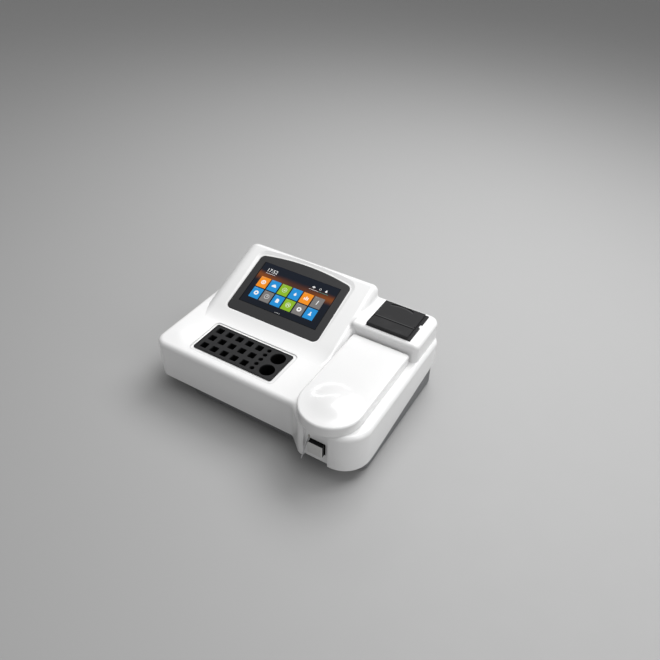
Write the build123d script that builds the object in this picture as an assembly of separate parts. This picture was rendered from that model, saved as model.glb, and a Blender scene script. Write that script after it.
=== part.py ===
from build123d import *
import math
import os

# Semi-automatic chemistry analyzer, built from its real pieces. Millimetres, +Z up, the front faces -Y.
# The origin is the middle of the overall box, on the table.

# Moulded body
body_width = 399.0
deck_height = 96.0
wall = 3.0
nose_width = 124.0
nose_reach = 23.0
nose_corner_radius = 45.0
neck_run = 26.0
neck_inner_radius = 12.0
neck_outer_radius = 14.0
front_corner_radius = 22.0
rear_corner_radius = 24.0
deck_edge_radius = 8.0
skirt_height = 26.0
skirt_rise_start = 60.0
skirt_rise_angle = 6.3
root_depth = 50.0
overrun = 1.0

# Screen hood, the raised part of the body behind the deck
hood_left_inset = 9.0
hood_right_inset = 120.0
hood_foot = 108.0
hood_tilt = 21.5
foot_blend_radius = 80.0
hood_left_radius = 24.0
hood_right_radius = 12.0
ridge_radius = 10.0
platform_seam_radius = 6.0

# Printer platform
platform_inset = 6.0
platform_gap = 3.0
platform_depth = 90.0
platform_rise = 34.0
platform_edge_radius = 7.0
platform_root = 6.0
platform_left_radius = 5.0
platform_front_radius = 9.0
platform_rear_radius = 18.0

# Screen
display_length = 154.08
display_width = 85.92
display_tilt = 20.7
display_rise = 15.2
display_setback = 148.1
display_shift = 0.35
bezel_side = 14.9
bezel_bottom = 21.8
bezel_top = 11.6
bezel_arch = 10.2
bezel_radius = 9.0
bezel_thickness = 2.6
bezel_proud = 0.4
bezel_gap = 0.7
bezel_edge_radius = 0.5
dish_margin = 3.0
dish_ramp = 9.0
dish_lift = 3.0
glass_margin = 1.6
glass_drop = 0.5
lcd_margin = 6.0
lcd_thickness = 5.5
lcd_gap = 0.5
bracket_thickness = 1.5
bracket_margin = 7.0
bracket_post = 6.0

# Incubator block
block_front_inset = 22.0
block_length = 152.7
block_width = 65.3
block_corner_radius = 3.0
block_height = 38.0
lug_length = 10.0
lug_thickness = 4.0
lug_inset = 15.0
block_proud = 0.4
rim_width = 1.4
rim_proud = 0.9
well_columns = 5
well_rows = 3
well_pitch_x = 20.0
well_pitch_y = 20.5
well_first_x = 13.8
well_size = 12.6
well_corner_radius = 2.0
well_depth = 32.0
tube_holes = 5
tube_hole_diameter = 8.0
tube_hole_x = 111.2
tube_pitch = 11.65
bottle_hole_diameter = 25.4
bottle_hole_x = 134.2
bottle_pitch = 30.0
heater_thickness = 2.5
heater_margin = 6.0
pocket_margin = 5.5
pocket_depth = 1.4
pocket_radius = 8.0

# Compartment lid
lid_width = 102.0
lid_length = 203.5
lid_side_gap = 16.0
lid_overhang = 8.5
lid_height = 17.7
lid_gap = 0.3
lid_wall = 2.5
lid_edge_radius = 3.5
lid_rear_radius = 5.0
lid_crown = 4.5
dome_inner_share = 0.45
dome_outer_share = 0.55
lid_heel = 2.2
liner_thickness = 2.0
liner_recess = 1.2
liner_gap = 0.3
rib_width = 2.0
rib_length = 40.0
hinge_setback = 6.0
hinge_rise = 11.0
hinge_pin_diameter = 4.0
hinge_fit = 0.05
hinge_side = 16.0
bracket_width = 6.0
knuckle_width = 8.0
knuckle_diameter = 9.0
hinge_play = 0.3
hinge_foot = 14.0
hinge_foot_thickness = 2.5
lug_radius = 3.2
lug_slot_play = 0.5

# Compartment tray under the lid
tray_side = 27.0
tray_width = 78.0
tray_front = 39.0
tray_length = 126.0
tray_depth = 40.0
tray_wall = 2.5
tray_radius = 8.0
tray_flange = 4.0

# Peristaltic pump
pump_front = 34.0
pump_base = 5.0
pump_height = 17.0
pump_outer_radius = 26.0
track_radius = 21.0
rollers = 3
roller_circle = 13.5
roller_radius = 4.2
roller_height = 9.0
roller_pin_radius = 1.5
rotor_plate = 2.0
rotor_radius = 17.4
rotor_gap = 0.4
rotor_hub_radius = 6.0
knob_height = 8.0
knob_radius = 7.0
roller_play = 0.3
shaft_radius = 2.5
shaft_clearance = 0.5
shaft_reach = 8.0
pump_motor_size = 35.0
pump_motor_height = 30.0
motor_chamfer = 3.0
pump_tube_diameter = 2.6
tube_play = 0.3
bend_share = 0.45
tube_bend = 6.0
waste_side = 34.5
sidestep_gap = 6.0
fit = 0.05

# Flow cell and optics
optic_height = 22.0
cell_rear_gap = 10.0
holder_length = 44.0
holder_depth = 26.0
holder_height = 30.0
cell_size = 12.5
cell_height = 24.0
cell_gap = 0.25
cell_proud = 4.0
cell_cap_height = 1.6
beam_diameter = 5.0
detector_thickness = 1.6
detector_width = 30.0
detector_height = 26.0
diode_diameter = 8.0
diode_length = 3.0
wheel_radius = 29.0
wheel_thickness = 4.0
wheel_filters = 8
filter_circle = 22.0
filter_diameter = 11.0
filter_thickness = 3.0
wheel_gap = 3.0
lens_gap = 0.5
lens_tube_radius = 7.0
lens_tube_bore = 4.5
filter_motor_radius = 9.5
filter_motor_length = 22.0
filter_shaft_radius = 1.5
filter_shaft_reach = 8.0
lamp_block = 24.0
lamp_block_length = 26.5
lamp_bore_radius = 6.0
lamp_length = 16.0
lamp_bulb_radius = 4.2
lamp_base = 5.0
lamp_fins = 3
fin_pitch = 3.2
fin_root = 4.0
optic_plate = 3.0
optic_bracket_half = 28.0
optic_foot = 24.0

# Sample probe and key in the nose
facet_left = 90.0
facet_right = 48.0
facet_depth = 4.5
facet_top = 8.0
key_width = 24.6
key_height = 21.0
key_side = 55.3
key_low = 44.0
key_proud = 8.5
key_stroke = 2.5
key_radius = 0.8
key_cap_thickness = 1.5
key_length = 16.0
key_clearance = 0.45
guide_wall = 0.9
guide_depth = 20.0
guide_back = 2.0
key_stem_radius = 2.0
key_stem_reach = 6.0
switch_length = 20.0
switch_height = 10.0
switch_bore_clearance = 0.3
probe_side = 82.0
probe_height = 70.0
probe_reach = 17.5
probe_tilt = 37.0
probe_radius = 0.8
probe_stub = 14.0
ferrule_radius = 1.6
ferrule_inside = 6.0
ferrule_outside = 1.5
tube_radius = 1.4
sipper_z = 84.0
sipper_in = 5.0
sipper_cross = 20.0
side_run_gap = 4.0
floor_run = 4.0
inlet_rise = 14.0

# Printer
printer_side_gap = 23.5
printer_width = 78.5
printer_depth = 72.0
printer_front_gap = 7.6
printer_flange = 2.0
printer_rise = 6.0
printer_edge = 0.6
printer_front_block = 23.8
printer_right_ledge = 5.5
printer_body_side = 4.0
printer_body_front = 3.0
printer_body_rear = 2.5
printer_body_right = 4.5
printer_body_depth = 42.0
printer_wall = 2.0
printer_chamfer = 1.6
notch_start = 36.5
notch_length = 10.0
notch_depth = 3.2
door_gap = 0.4
door_overlap = 0.1
door_thickness = 3.6
door_axis_back = 3.4
door_axis_drop = 2.4
door_edge_radius = 1.4
door_ear = 2.0
ear_relief = 0.2
door_pin_radius = 1.1
door_pin_inset = 1.0
door_play = 0.3
grip_width = 40.0
grip_bulge = 4.0
grip_groove = 1.6
grip_depth = 0.8
grip_rear = 1.8
grip_offset = 2.8
platen_radius = 4.0
platen_length = 50.0
platen_back = 9.4
platen_shaft_radius = 1.5
platen_drop = 5.4
platen_gap = 0.4
platen_lug = 2.0
platen_lug_width = 6.0
head_thickness = 2.4
head_height = 7.4
head_length = 48.0
gear_module = 0.5
platen_teeth = 18
drive_teeth = 24
gear_width = 2.4
gear_backlash = 0.12
root_share = 1.2
root_width_share = 0.32
tip_width_share = 0.12
mesh_angle = -math.pi / 2
gear_side = 0.4
drive_shaft_radius = 1.0
drive_shaft_reach = 6.0
motor_gear_gap = 0.3
motor_plate = 2.0
feed_motor_radius = 6.0
feed_motor_length = 15.0
roll_radius = 17.0
roll_width = 57.0
roll_bore = 6.5
roll_front = 36.4
roll_rise = 22.0
roll_floor_gap = 0.3
cradle_height = 4.0

# Base
foot_height = 4.0
base_left = 58.0
base_right = 4.0
base_front = 33.0
base_rear = 3.8
base_wall = 3.0
base_radius = 20.0
pan_thickness = 2.5
pan_gap = 0.4
foot_radius = 9.0
foot_inset = 22.0
foot_recess = 1.0
boss_radius = 4.5
boss_setback = 12.0
boss_neck = 30.0
wing_boss_side = 16.0
boss_inset = 11.0
screw_radius = 1.25
screw_head_radius = 2.9
screw_head = 1.8
screw_length = 12.0
screw_play = 0.3

# Rear panel and what it carries
panel_right = 23.0
panel_length = 298.0
panel_low = 56.0
panel_height = 52.0
panel_thickness = 1.5
panel_lap = 4.0
panel_screw_length = 6.0
panel_screw_radius = 1.2
panel_screw_head_radius = 2.4
panel_screw_head = 1.2
port_line = 82.0
inlet_x = 36.0
inlet_width = 28.0
inlet_height = 21.0
inlet_depth = 22.0
inlet_flange_width = 46.0
inlet_flange_height = 26.0
inlet_flange = 2.4
inlet_flange_radius = 3.0
inlet_wall = 2.0
inlet_pocket = 16.0
pin_width = 2.0
pin_height = 4.0
pin_length = 12.0
pin_spread = 7.0
pin_drop = 3.0
switch_x = 82.0
switch_body_width = 13.0
switch_body_height = 20.0
rocker_width = 9.0
rocker_height = 15.0
rocker_frame_width = 16.0
rocker_frame_height = 23.0
rocker_flange = 1.6
rocker_depth = 14.0
rocker_pivot = 4.0
rocker_root = 4.0
rocker_root_share = 0.75
rocker_end = 6.5
rocker_middle = 5.0
rocker_sweep = 8.5
rocker_pin_reach = 1.2
rocker_swing = 20.0
rocker_play = 0.4
rocker_pin_radius = 1.0
waste_nut_radius = 5.5
waste_nut = 4.0
waste_barb_radius = 2.4
waste_barb_length = 12.0
waste_tail = 10.0
waste_bore = 1.2
barb_rings = 2
barb_pitch = 3.0
barb_step = 0.5
board_x = 162.0
board_length = 72.0
board_height = 34.0
board_back = 14.0
board_thickness = 1.6
serial_x = 144.0
serial_width = 31.0
serial_height = 12.4
serial_d_width = 17.0
serial_d_height = 8.4
serial_reach = 6.0
usb_x = 178.0
usb_width = 14.5
usb_height = 15.6
usb_reach = 1.0
usb_sheet = 0.8
usb_socket_depth = 10.0
usb_socket_height = 5.2
fan_x = 258.0
fan_size = 40.0
fan_depth = 10.0
fan_bore_radius = 18.5
fan_hub_radius = 9.0
fan_tip_gap = 0.8
fan_blades = 7
fan_blade_thickness = 1.2
fan_blade_pitch = 35.0
fan_spoke = 3.0
fan_base = 2.0
fan_corner = 4.0
fan_pin = 7.0
slot_count = 7
slot_pitch = 5.2
slot_height = 2.6

# Electronics on the base
supply_x = 14.0
supply_length = 92.0
supply_depth = 82.0
supply_height = 36.0
supply_sheet = 1.2
supply_back = 22.0
supply_slots = 8
main_x = 118.0
main_length = 92.0
main_front = 90.0
main_depth = 130.0
main_standoff = 6.0
standoff_radius = 3.0
standoff_inset = 5.0
chip_size = 26.0
chip_height = 4.0
header_length = 40.0
header_height = 9.0
header_width = 8.0

# Places that follow from the sizes above
rear_reach = panel_thickness + waste_barb_length
body_depth = lid_length - lid_overhang + platform_gap + platform_depth
overall_depth = probe_reach + body_depth + rear_reach
left_x = -body_width / 2
right_x = body_width / 2
nose_y = probe_reach - overall_depth / 2
rear_y = nose_y + body_depth
front_y = nose_y + nose_reach
neck_x = right_x - nose_width
deck_z = deck_height
skirt_z = skirt_height
rise_y = nose_y + skirt_rise_start
floor_z = foot_height + base_wall
under_deck_z = deck_z - wall

hood_left_x = left_x + hood_left_inset
hood_right_x = right_x - hood_right_inset
hood_foot_y = front_y + hood_foot

platform_right_x = right_x - platform_inset
platform_front_y = rear_y - platform_depth
platform_z = deck_z + platform_rise

screen_x = (hood_left_x + hood_right_x) / 2 + display_shift
block_x = screen_x - block_length / 2
block_y = front_y + block_front_inset
block_top_z = deck_z + block_proud
block_under_z = block_top_z - block_height

screen_y = front_y + display_setback
screen_plane = Plane(
    origin=(screen_x, screen_y, deck_z + display_rise),
    x_dir=(1, 0, 0),
    z_dir=(0, -math.sin(math.radians(display_tilt)), math.cos(math.radians(display_tilt))),
)

lid_right_x = right_x - lid_side_gap
lid_left_x = lid_right_x - lid_width
lid_x = (lid_left_x + lid_right_x) / 2
lid_front_y = nose_y - lid_overhang
lid_rear_y = lid_front_y + lid_length
lid_z = deck_z + lid_gap
lid_top_z = lid_z + lid_height
lid_turn_y = lid_front_y + lid_width / 2
hinge_y = lid_rear_y - hinge_setback
hinge_z = deck_z + hinge_rise

tray_right_x = right_x - tray_side
tray_left_x = tray_right_x - tray_width
tray_front_y = nose_y + tray_front
tray_rear_y = tray_front_y + tray_length
tray_floor_z = deck_z - tray_depth
pump_x = (tray_left_x + tray_right_x) / 2
pump_y = tray_front_y + pump_front
optic_x = pump_x
optic_z = tray_floor_z + optic_height

glass_under = bezel_proud - bezel_thickness
glass_thickness = bezel_thickness - glass_drop

pump_tube_z = tray_floor_z + pump_base + rotor_gap + rotor_plate + roller_play + roller_height / 2
rotor_z = tray_floor_z + pump_base + rotor_gap
shaft_hole_radius = shaft_radius + shaft_clearance
waste_tube_x = right_x - waste_side
holder_left_x = optic_x - holder_length / 2
holder_right_x = optic_x + holder_length / 2
holder_rear_y = tray_rear_y - cell_rear_gap
holder_front_y = holder_rear_y - holder_depth
holder_middle_y = (holder_front_y + holder_rear_y) / 2
wheel_y = tray_rear_y + tray_wall + wheel_gap
wheel_z = optic_z - filter_circle
lens_end_y = wheel_y - lens_gap
optic_plate_y = wheel_y + wheel_thickness + wheel_gap

facet_left_x = right_x - facet_left
facet_right_x = right_x - facet_right
facet_y = nose_y + facet_depth
facet_top_z = deck_z - facet_top
key_right_x = right_x - key_side
key_left_x = key_right_x - key_width
key_x = (key_left_x + key_right_x) / 2
key_z = key_low + key_height / 2
key_margin = key_clearance + guide_wall
guide_left_x = key_left_x - key_margin
guide_right_x = key_right_x + key_margin
guide_low_z = key_low - key_margin
guide_top_z = key_low + key_height + key_margin
probe_x = right_x - probe_side
probe_z = probe_height
floor_run_z = tray_floor_z + floor_run
inlet_z = tray_floor_z + inlet_rise

printer_right_x = right_x - printer_side_gap
printer_left_x = printer_right_x - printer_width
printer_front_y = platform_front_y + printer_front_gap
printer_rear_y = printer_front_y + printer_depth
cover_left_x = printer_left_x + printer_edge
cover_right_x = printer_right_x - printer_right_ledge
cover_top_z = platform_z + printer_rise
block_rear_y = printer_front_y + printer_front_block
printer_x = (cover_left_x + cover_right_x) / 2
body_left_x = printer_left_x + printer_body_side
body_right_x = printer_right_x - printer_body_right
body_front_y = printer_front_y + printer_body_front
body_rear_y = printer_rear_y - printer_body_rear
bay_left_x = body_left_x + printer_wall
bay_right_x = body_right_x - printer_wall
bay_front_y = body_front_y + printer_wall
bay_rear_y = body_rear_y - printer_wall
bay_floor_z = platform_z - printer_body_depth + printer_wall
tongue_left_x = cover_left_x + door_ear + door_play
tongue_right_x = cover_right_x - door_ear - door_play
door_front_y = block_rear_y + door_gap
door_wide_y = block_rear_y + door_axis_back + door_axis_drop + door_play
door_rear_y = body_rear_y + door_overlap
door_axis_y = block_rear_y + door_axis_back
door_axis_z = cover_top_z - door_axis_drop
pin_left_x = cover_left_x + door_pin_inset
pin_right_x = cover_right_x - door_pin_inset
grip_circle = ((grip_width / 2) ** 2 + grip_bulge**2) / (2 * grip_bulge)
platen_x = (bay_left_x + bay_right_x) / 2
platen_left_x = platen_x - platen_length / 2
platen_right_x = platen_x + platen_length / 2
platen_y = door_rear_y - platen_back
platen_z = cover_top_z - door_thickness - platen_drop
drive_y = platen_y
drive_z = platen_z - (platen_teeth + drive_teeth) * gear_module / 2
gear_x = bay_right_x - gear_side - gear_width
roll_x = platen_x
roll_y = printer_front_y + roll_front
roll_z = platform_z - roll_rise

base_left_x = left_x + base_left
base_right_x = right_x - base_right
base_front_y = nose_y + base_front
base_rear_y = rear_y - base_rear
main_x0 = base_left_x + main_x
main_y0 = base_front_y + main_front

rear_face_y = rear_y + panel_thickness
panel_right_x = right_x - panel_right
panel_left_x = panel_right_x - panel_length
panel_low_z = panel_low
panel_top_z = panel_low + panel_height
port_z = port_line
inlet_centre_x = panel_left_x + inlet_x
switch_centre_x = panel_left_x + switch_x
board_centre_x = panel_left_x + board_x
serial_centre_x = panel_left_x + serial_x
usb_centre_x = panel_left_x + usb_x
fan_centre_x = panel_left_x + fan_x
rocker_y = rear_face_y - rocker_pivot


def box(x0, x1, y0, y1, z0, z1):
    """Block between three pairs of faces."""
    centre = Pos((x0 + x1) / 2, (y0 + y1) / 2, (z0 + z1) / 2)
    return centre * Box(x1 - x0, y1 - y0, z1 - z0)


def rounded_box(x0, x1, y0, y1, z0, z1, radius):
    """Block with rounded upright edges."""
    solid = box(x0, x1, y0, y1, z0, z1)
    return fillet(solid.edges().filter_by(Axis.Z), radius)


def rod(x, y, z0, z1, radius):
    """Upright round bar."""
    return Pos(x, y, (z0 + z1) / 2) * Cylinder(radius, z1 - z0)


def rod_x(x0, x1, y, z, radius):
    """Round bar along X."""
    return Pos((x0 + x1) / 2, y, z) * Rot(0, 90, 0) * Cylinder(radius, x1 - x0)


def rod_y(x, y0, y1, z, radius):
    """Round bar along Y."""
    return Pos(x, (y0 + y1) / 2, z) * Rot(90, 0, 0) * Cylinder(radius, y1 - y0)


def side_profile(points, x0, x1):
    """Prism along X on a list of (y, z) points."""
    face = make_face(Plane.YZ * Polyline(*points, close=True))
    return Pos(x0, 0, 0) * extrude(face, amount=x1 - x0, dir=(1, 0, 0))


def save(node, shape):
    """One STEP file for one named piece."""
    export_step(shape, f"parts/{node}.step")


def near_corner(face, x, y):
    """The corner of a flat face nearest to a place."""
    return face.vertices().sort_by_distance((x, y, 0))[0]


def body_plan(inset):
    """Outline of the moulded body from above, drawn in by inset."""
    turn_x = neck_x + neck_run
    corners = [
        (left_x, rear_y, rear_corner_radius),
        (left_x, front_y, front_corner_radius),
        (neck_x, front_y, neck_inner_radius),
        (turn_x, nose_y, neck_outer_radius),
        (right_x, nose_y, nose_corner_radius),
        (right_x, rear_y, rear_corner_radius),
    ]
    face = make_face(Polyline(*[(x, y) for x, y, r in corners], close=True))
    for x, y, radius in corners:
        face = fillet(near_corner(face, x, y), radius)
    if inset > 0:
        face = offset(face, amount=-inset)
    return face


def skirt_rise(y):
    """How far the body's lower edge has risen at y."""
    return max(0, y - rise_y) * math.tan(math.radians(skirt_rise_angle))


def below_skirt(lift):
    """Everything under the body's lower edge, raised by lift."""
    far_y = rear_y + root_depth
    near_y = nose_y - root_depth
    points = [
        (near_y, -root_depth),
        (near_y, skirt_z + lift),
        (rise_y, skirt_z + lift),
        (far_y, skirt_z + lift + skirt_rise(far_y)),
        (far_y, -root_depth),
    ]
    return side_profile(points, left_x - root_depth, right_x + root_depth)


def deck_form(inset):
    """Low main body with its rounded top edge."""
    form = extrude(body_plan(inset), amount=deck_z - inset)
    top = form.faces().sort_by(Axis.Z)[-1]
    return fillet(top.edges(), deck_edge_radius - inset)


def hood_form(inset):
    """Sloped screen hood, blended into the deck at its foot."""
    tilt = math.radians(hood_tilt)
    low_z = deck_z - inset
    foot_y = hood_foot_y + inset * math.tan(tilt / 2)
    lead_y = foot_y - foot_blend_radius * math.tan(tilt / 2) - root_depth
    back_y = rear_y - inset
    peak_z = low_z + (back_y - foot_y) * math.tan(tilt)
    root_z = deck_z - root_depth
    points = [(lead_y, root_z), (lead_y, low_z), (foot_y, low_z), (back_y, peak_z), (back_y, root_z)]
    form = side_profile(points, hood_left_x + inset, hood_right_x - inset)
    foot = form.edges().filter_by(Axis.X).sort_by_distance((screen_x, foot_y, low_z))[0]
    form = fillet(foot, foot_blend_radius + inset)
    for side, radius in ((0, hood_left_radius), (-1, hood_right_radius)):
        outline = form.faces().filter_by(Axis.X).sort_by(Axis.X)[side].edges()
        raised = outline.filter_by(lambda e: e.center().Z > root_z + overrun)
        crest = raised.filter_by(Axis.Z, reverse=True)
        form = fillet(crest, radius - inset)
    back = form.faces().sort_by(Axis.Y)[-1].edges()
    ridge = back.filter_by(lambda e: e.center().Z > root_z + overrun)
    return fillet(ridge, ridge_radius - inset)


def platform_form(inset):
    """Flat step at the rear right that carries the printer."""
    root_z = deck_z - root_depth
    left = hood_right_x - platform_root
    right = platform_right_x - inset
    front = platform_front_y + inset
    back = rear_y - inset
    form = box(left, right, front, back, root_z, platform_z - inset)
    upright = form.edges().filter_by(Axis.Z)
    form = fillet(upright.sort_by_distance((right, front, deck_z))[0], platform_front_radius - inset)
    upright = form.edges().filter_by(Axis.Z)
    form = fillet(upright.sort_by_distance((right, back, deck_z))[0], platform_rear_radius - inset)
    top = form.faces().sort_by(Axis.Z)[-1].edges()
    outer = top.filter_by(lambda e: e.center().X > left + overrun)
    form = fillet(outer, platform_edge_radius - inset)
    top = form.faces().sort_by(Axis.Z)[-1].edges()
    inner = top.sort_by(lambda e: e.center().X)[0]
    return fillet(inner, platform_left_radius - inset)


def body_form(inset):
    """Whole outer form of the moulded body, drawn in by inset."""
    return deck_form(inset) + hood_form(inset) + platform_form(inset)


def screen_outline(extra):
    """Arched outline of the bezel on the screen plane, grown by extra."""
    half = display_length / 2 + bezel_side + extra
    low = -bezel_bottom - extra
    high = display_width + bezel_top + extra
    sides = Polyline((-half, high), (-half, low), (half, low), (half, high))
    arch = ThreePointArc((half, high), (0, high + bezel_arch), (-half, high))
    face = make_face(sides + arch)
    for x, y in ((-half, high), (-half, low), (half, low), (half, high)):
        face = fillet(near_corner(face, x, y), bezel_radius + extra)
    return face


def on_screen(face, low, high):
    """Prism of a face that lies on the screen plane, from low to high along its normal."""
    return extrude(screen_plane.offset(low) * face, amount=high - low)


def screen_rectangle(margin):
    """Rectangle round the lit area of the display, grown by margin."""
    place = Pos(0, display_width / 2)
    return place * Rectangle(display_length + 2 * margin, display_width + 2 * margin)


def screen_pad():
    """Thickened seat in the hood under the bezel."""
    low = bezel_proud - bezel_thickness - wall
    return on_screen(screen_outline(dish_margin), low, dish_ramp)


def screen_cuts():
    """Shallow dish, bezel recess and display window in the hood."""
    floor_face = screen_plane * screen_outline(dish_margin)
    rim_face = screen_plane.offset(dish_lift) * screen_outline(dish_margin + dish_ramp)
    dish = loft([floor_face, rim_face])
    seat = bezel_proud - bezel_thickness
    recess = on_screen(screen_outline(bezel_gap), seat, dish_lift)
    window = on_screen(screen_rectangle(lcd_margin + lcd_gap), seat - wall - overrun, dish_lift)
    return [dish, recess, window]


def block_outline(inset):
    """Rounded rectangle of the incubator opening, drawn in by inset."""
    centre = Pos(block_x + block_length / 2, block_y + block_width / 2)
    return centre * RectangleRounded(
        block_length - 2 * inset, block_width - 2 * inset, block_corner_radius - inset
    )


def block_pocket():
    """Shallow pocket in the deck round the incubator."""
    margin = Pos(block_x + block_length / 2, block_y + block_width / 2, deck_z - pocket_depth)
    size_x = block_length + 2 * pocket_margin
    size_y = block_width + 2 * pocket_margin
    return extrude(margin * RectangleRounded(size_x, size_y, pocket_radius), amount=wall)


def tray_box(grow, z0, z1):
    """Upright-walled block on the outline of the tray, grown by grow."""
    return rounded_box(
        tray_left_x - grow,
        tray_right_x + grow,
        tray_front_y - grow,
        tray_rear_y + grow,
        z0,
        z1,
        tray_radius + grow,
    )


def facet_cut():
    """Flat recess in the front of the nose."""
    return box(facet_left_x, facet_right_x, nose_y - overrun, facet_y, -overrun, facet_top_z)


def facet_pad():
    """Wall behind the flat recess of the nose."""
    return box(
        facet_left_x - wall, facet_right_x + wall, nose_y, facet_y + wall, 0, facet_top_z + wall
    )


def along_probe(start, end, radius):
    """Round bar on the slanted axis of the probe, from start to end, outward positive."""
    length = end - start
    tilt = math.radians(probe_tilt)
    middle = (start + end) / 2
    place = Pos(probe_x, facet_y - middle * math.sin(tilt), probe_z - middle * math.cos(tilt))
    return place * Rot(-probe_tilt, 0, 0) * Cylinder(radius, length)


def long_boss_places():
    """Where the long screw bosses of the shell stand on the base floor."""
    front = base_front_y + boss_setback
    back = base_rear_y - boss_setback
    return [
        (neck_x - boss_neck, front),
        (base_left_x + boss_inset, back),
        (base_right_x - boss_inset, front),
        (base_right_x - boss_inset, back),
    ]


def wing_boss_places():
    """Where the short bosses of the left wing stand on the pan."""
    x = left_x + wing_boss_side
    return [(x, base_front_y + boss_setback), (x, base_rear_y - boss_setback)]


def upper_shell():
    """White moulded body: deck, screen hood, printer platform and nose, open underneath."""
    outer = body_form(0)
    seam = outer.edges().filter_by(lambda e: on_platform_seam(e))
    outer = fillet(seam, platform_seam_radius)
    shell = outer - body_form(wall)
    shell += screen_pad() & outer
    shell += facet_pad() & outer
    for x, y in long_boss_places():
        shell += rod(x, y, floor_z, deck_z + root_depth + wall, boss_radius) & outer
    for x, y in wing_boss_places():
        post = rod(x, y, skirt_z, deck_z + root_depth + wall, boss_radius) & outer
        shell += post - below_skirt(pan_thickness)
    cuts = screen_cuts()
    cuts.append(block_pocket())
    cuts.append(extrude(Pos(0, 0, deck_z - block_height) * block_outline(0), amount=block_height + wall))
    cuts.append(tray_box(0, deck_z - tray_depth, deck_z + overrun))
    cuts.append(facet_cut())
    cuts.append(box(guide_left_x, guide_right_x, facet_y - overrun, facet_y + wall + overrun, guide_low_z, guide_top_z))
    cuts.append(along_probe(-ferrule_inside, ferrule_outside, ferrule_radius))
    cuts.append(
        box(body_left_x, body_right_x, body_front_y, body_rear_y, platform_z - wall - overrun, platform_z + overrun)
    )
    cuts.append(
        box(
            panel_left_x + panel_lap,
            panel_right_x - panel_lap,
            rear_y - wall - overrun,
            rear_y + overrun,
            panel_low_z + panel_lap,
            panel_top_z - panel_lap,
        )
    )
    for x, y in long_boss_places():
        cuts.append(rod(x, y, 0, floor_z + screw_length, screw_radius))
    for x, y in wing_boss_places():
        cuts.append(rod(x, y, 0, pan_z(y) + screw_length, screw_radius))
    for x, z in panel_screw_places():
        cuts.append(rod_y(x, rear_y - wall - overrun, rear_y + overrun, z, panel_screw_radius))
    cuts.append(below_skirt_outside())
    for cut in cuts:
        shell = shell - cut
    return shell


def below_skirt_outside():
    """The space under the slanting lower edge, apart from the long bosses that reach the base floor."""
    space = below_skirt(0)
    for x, y in long_boss_places():
        space -= rod(x, y, -root_depth, deck_z, boss_radius)
    return space


def on_platform_seam(edge):
    """Edges where the hood's right flank meets the printer platform."""
    middle = edge.center()
    near_flank = abs(middle.X - hood_right_x) < overrun
    return near_flank and middle.Z > platform_z - overrun and edge.geom_type == GeomType.LINE


def pan_z(y):
    """Height of the pan's underside at y."""
    return skirt_z + skirt_rise(y)


def lower_base():
    """Dark moulded base: a pan that closes the body, and a pedestal with the floor that carries the works."""
    high = deck_z
    pan_top = below_skirt(pan_thickness)
    plan = body_plan(wall + pan_gap)
    pan = (extrude(plan, amount=high) & pan_top) - below_skirt(0)
    pan -= box(
        facet_left_x - wall - pan_gap,
        facet_right_x + wall + pan_gap,
        nose_y,
        facet_y + wall + pan_gap,
        0,
        high,
    )
    pedestal = pan_top & rounded_box(
        base_left_x, base_right_x, base_front_y, base_rear_y, foot_height, high, base_radius
    )
    hollow = rounded_box(
        base_left_x + base_wall,
        base_right_x - base_wall,
        base_front_y + base_wall,
        base_rear_y - base_wall,
        floor_z,
        high,
        base_radius - base_wall,
    )
    base = pan + pedestal - hollow
    for x, y in main_board_posts():
        base += rod(x, y, floor_z - overrun, floor_z + main_standoff, standoff_radius)
    for x, y in foot_places():
        base -= rod(x, y, 0, foot_height + foot_recess, foot_radius)
    for x, y in long_boss_places():
        base -= rod(x, y, 0, foot_height + screw_head, screw_head_radius + screw_play)
        base -= rod(x, y, 0, high, screw_radius + screw_play)
    for x, y in wing_boss_places():
        base -= rod(x, y, 0, high, screw_radius + screw_play)
    return base


def foot_places():
    """Centres of the four rubber feet."""
    xs = (base_left_x + foot_inset, base_right_x - foot_inset)
    ys = (base_front_y + foot_inset, base_rear_y - foot_inset)
    return [(x, y) for x in xs for y in ys]


def rubber_feet():
    """Four round feet, each with a softened lower edge."""
    feet = []
    for x, y in foot_places():
        foot = rod(x, y, 0, foot_height + foot_recess, foot_radius)
        feet.append(chamfer(foot.edges().sort_by(Axis.Z)[0], foot_recess))
    return Compound(feet)


def base_screws():
    """Screws that hold the body to the base, driven from below."""
    screws = []
    for x, y in long_boss_places():
        head = rod(x, y, foot_height, foot_height + screw_head, screw_head_radius)
        shank = rod(x, y, foot_height + screw_head, floor_z + screw_length, screw_radius)
        screws.append(head + shank)
    for x, y in wing_boss_places():
        seat = pan_z(y - screw_head_radius)
        head = rod(x, y, seat - screw_head, seat, screw_head_radius)
        shank = rod(x, y, seat, seat + screw_length, screw_radius)
        screws.append(head + shank)
    return Compound(screws)


def screen_bezel():
    """Charcoal frame round the display, with an arched top edge."""
    low = bezel_proud - bezel_thickness
    frame = on_screen(screen_outline(0), low, bezel_proud)
    top = frame.faces().filter_by(lambda face: face.normal_at().Z > 1 / 2)
    frame = fillet(top[0].edges(), bezel_edge_radius)
    return frame - on_screen(screen_rectangle(glass_margin), low - overrun, bezel_proud + overrun)


def touch_glass():
    """Touch panel in the bezel's window."""
    return on_screen(screen_rectangle(glass_margin), glass_under, glass_under + glass_thickness)


def display_panel():
    """Display module behind the touch panel."""
    return on_screen(screen_rectangle(lcd_margin), glass_under - lcd_thickness, glass_under)


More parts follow.
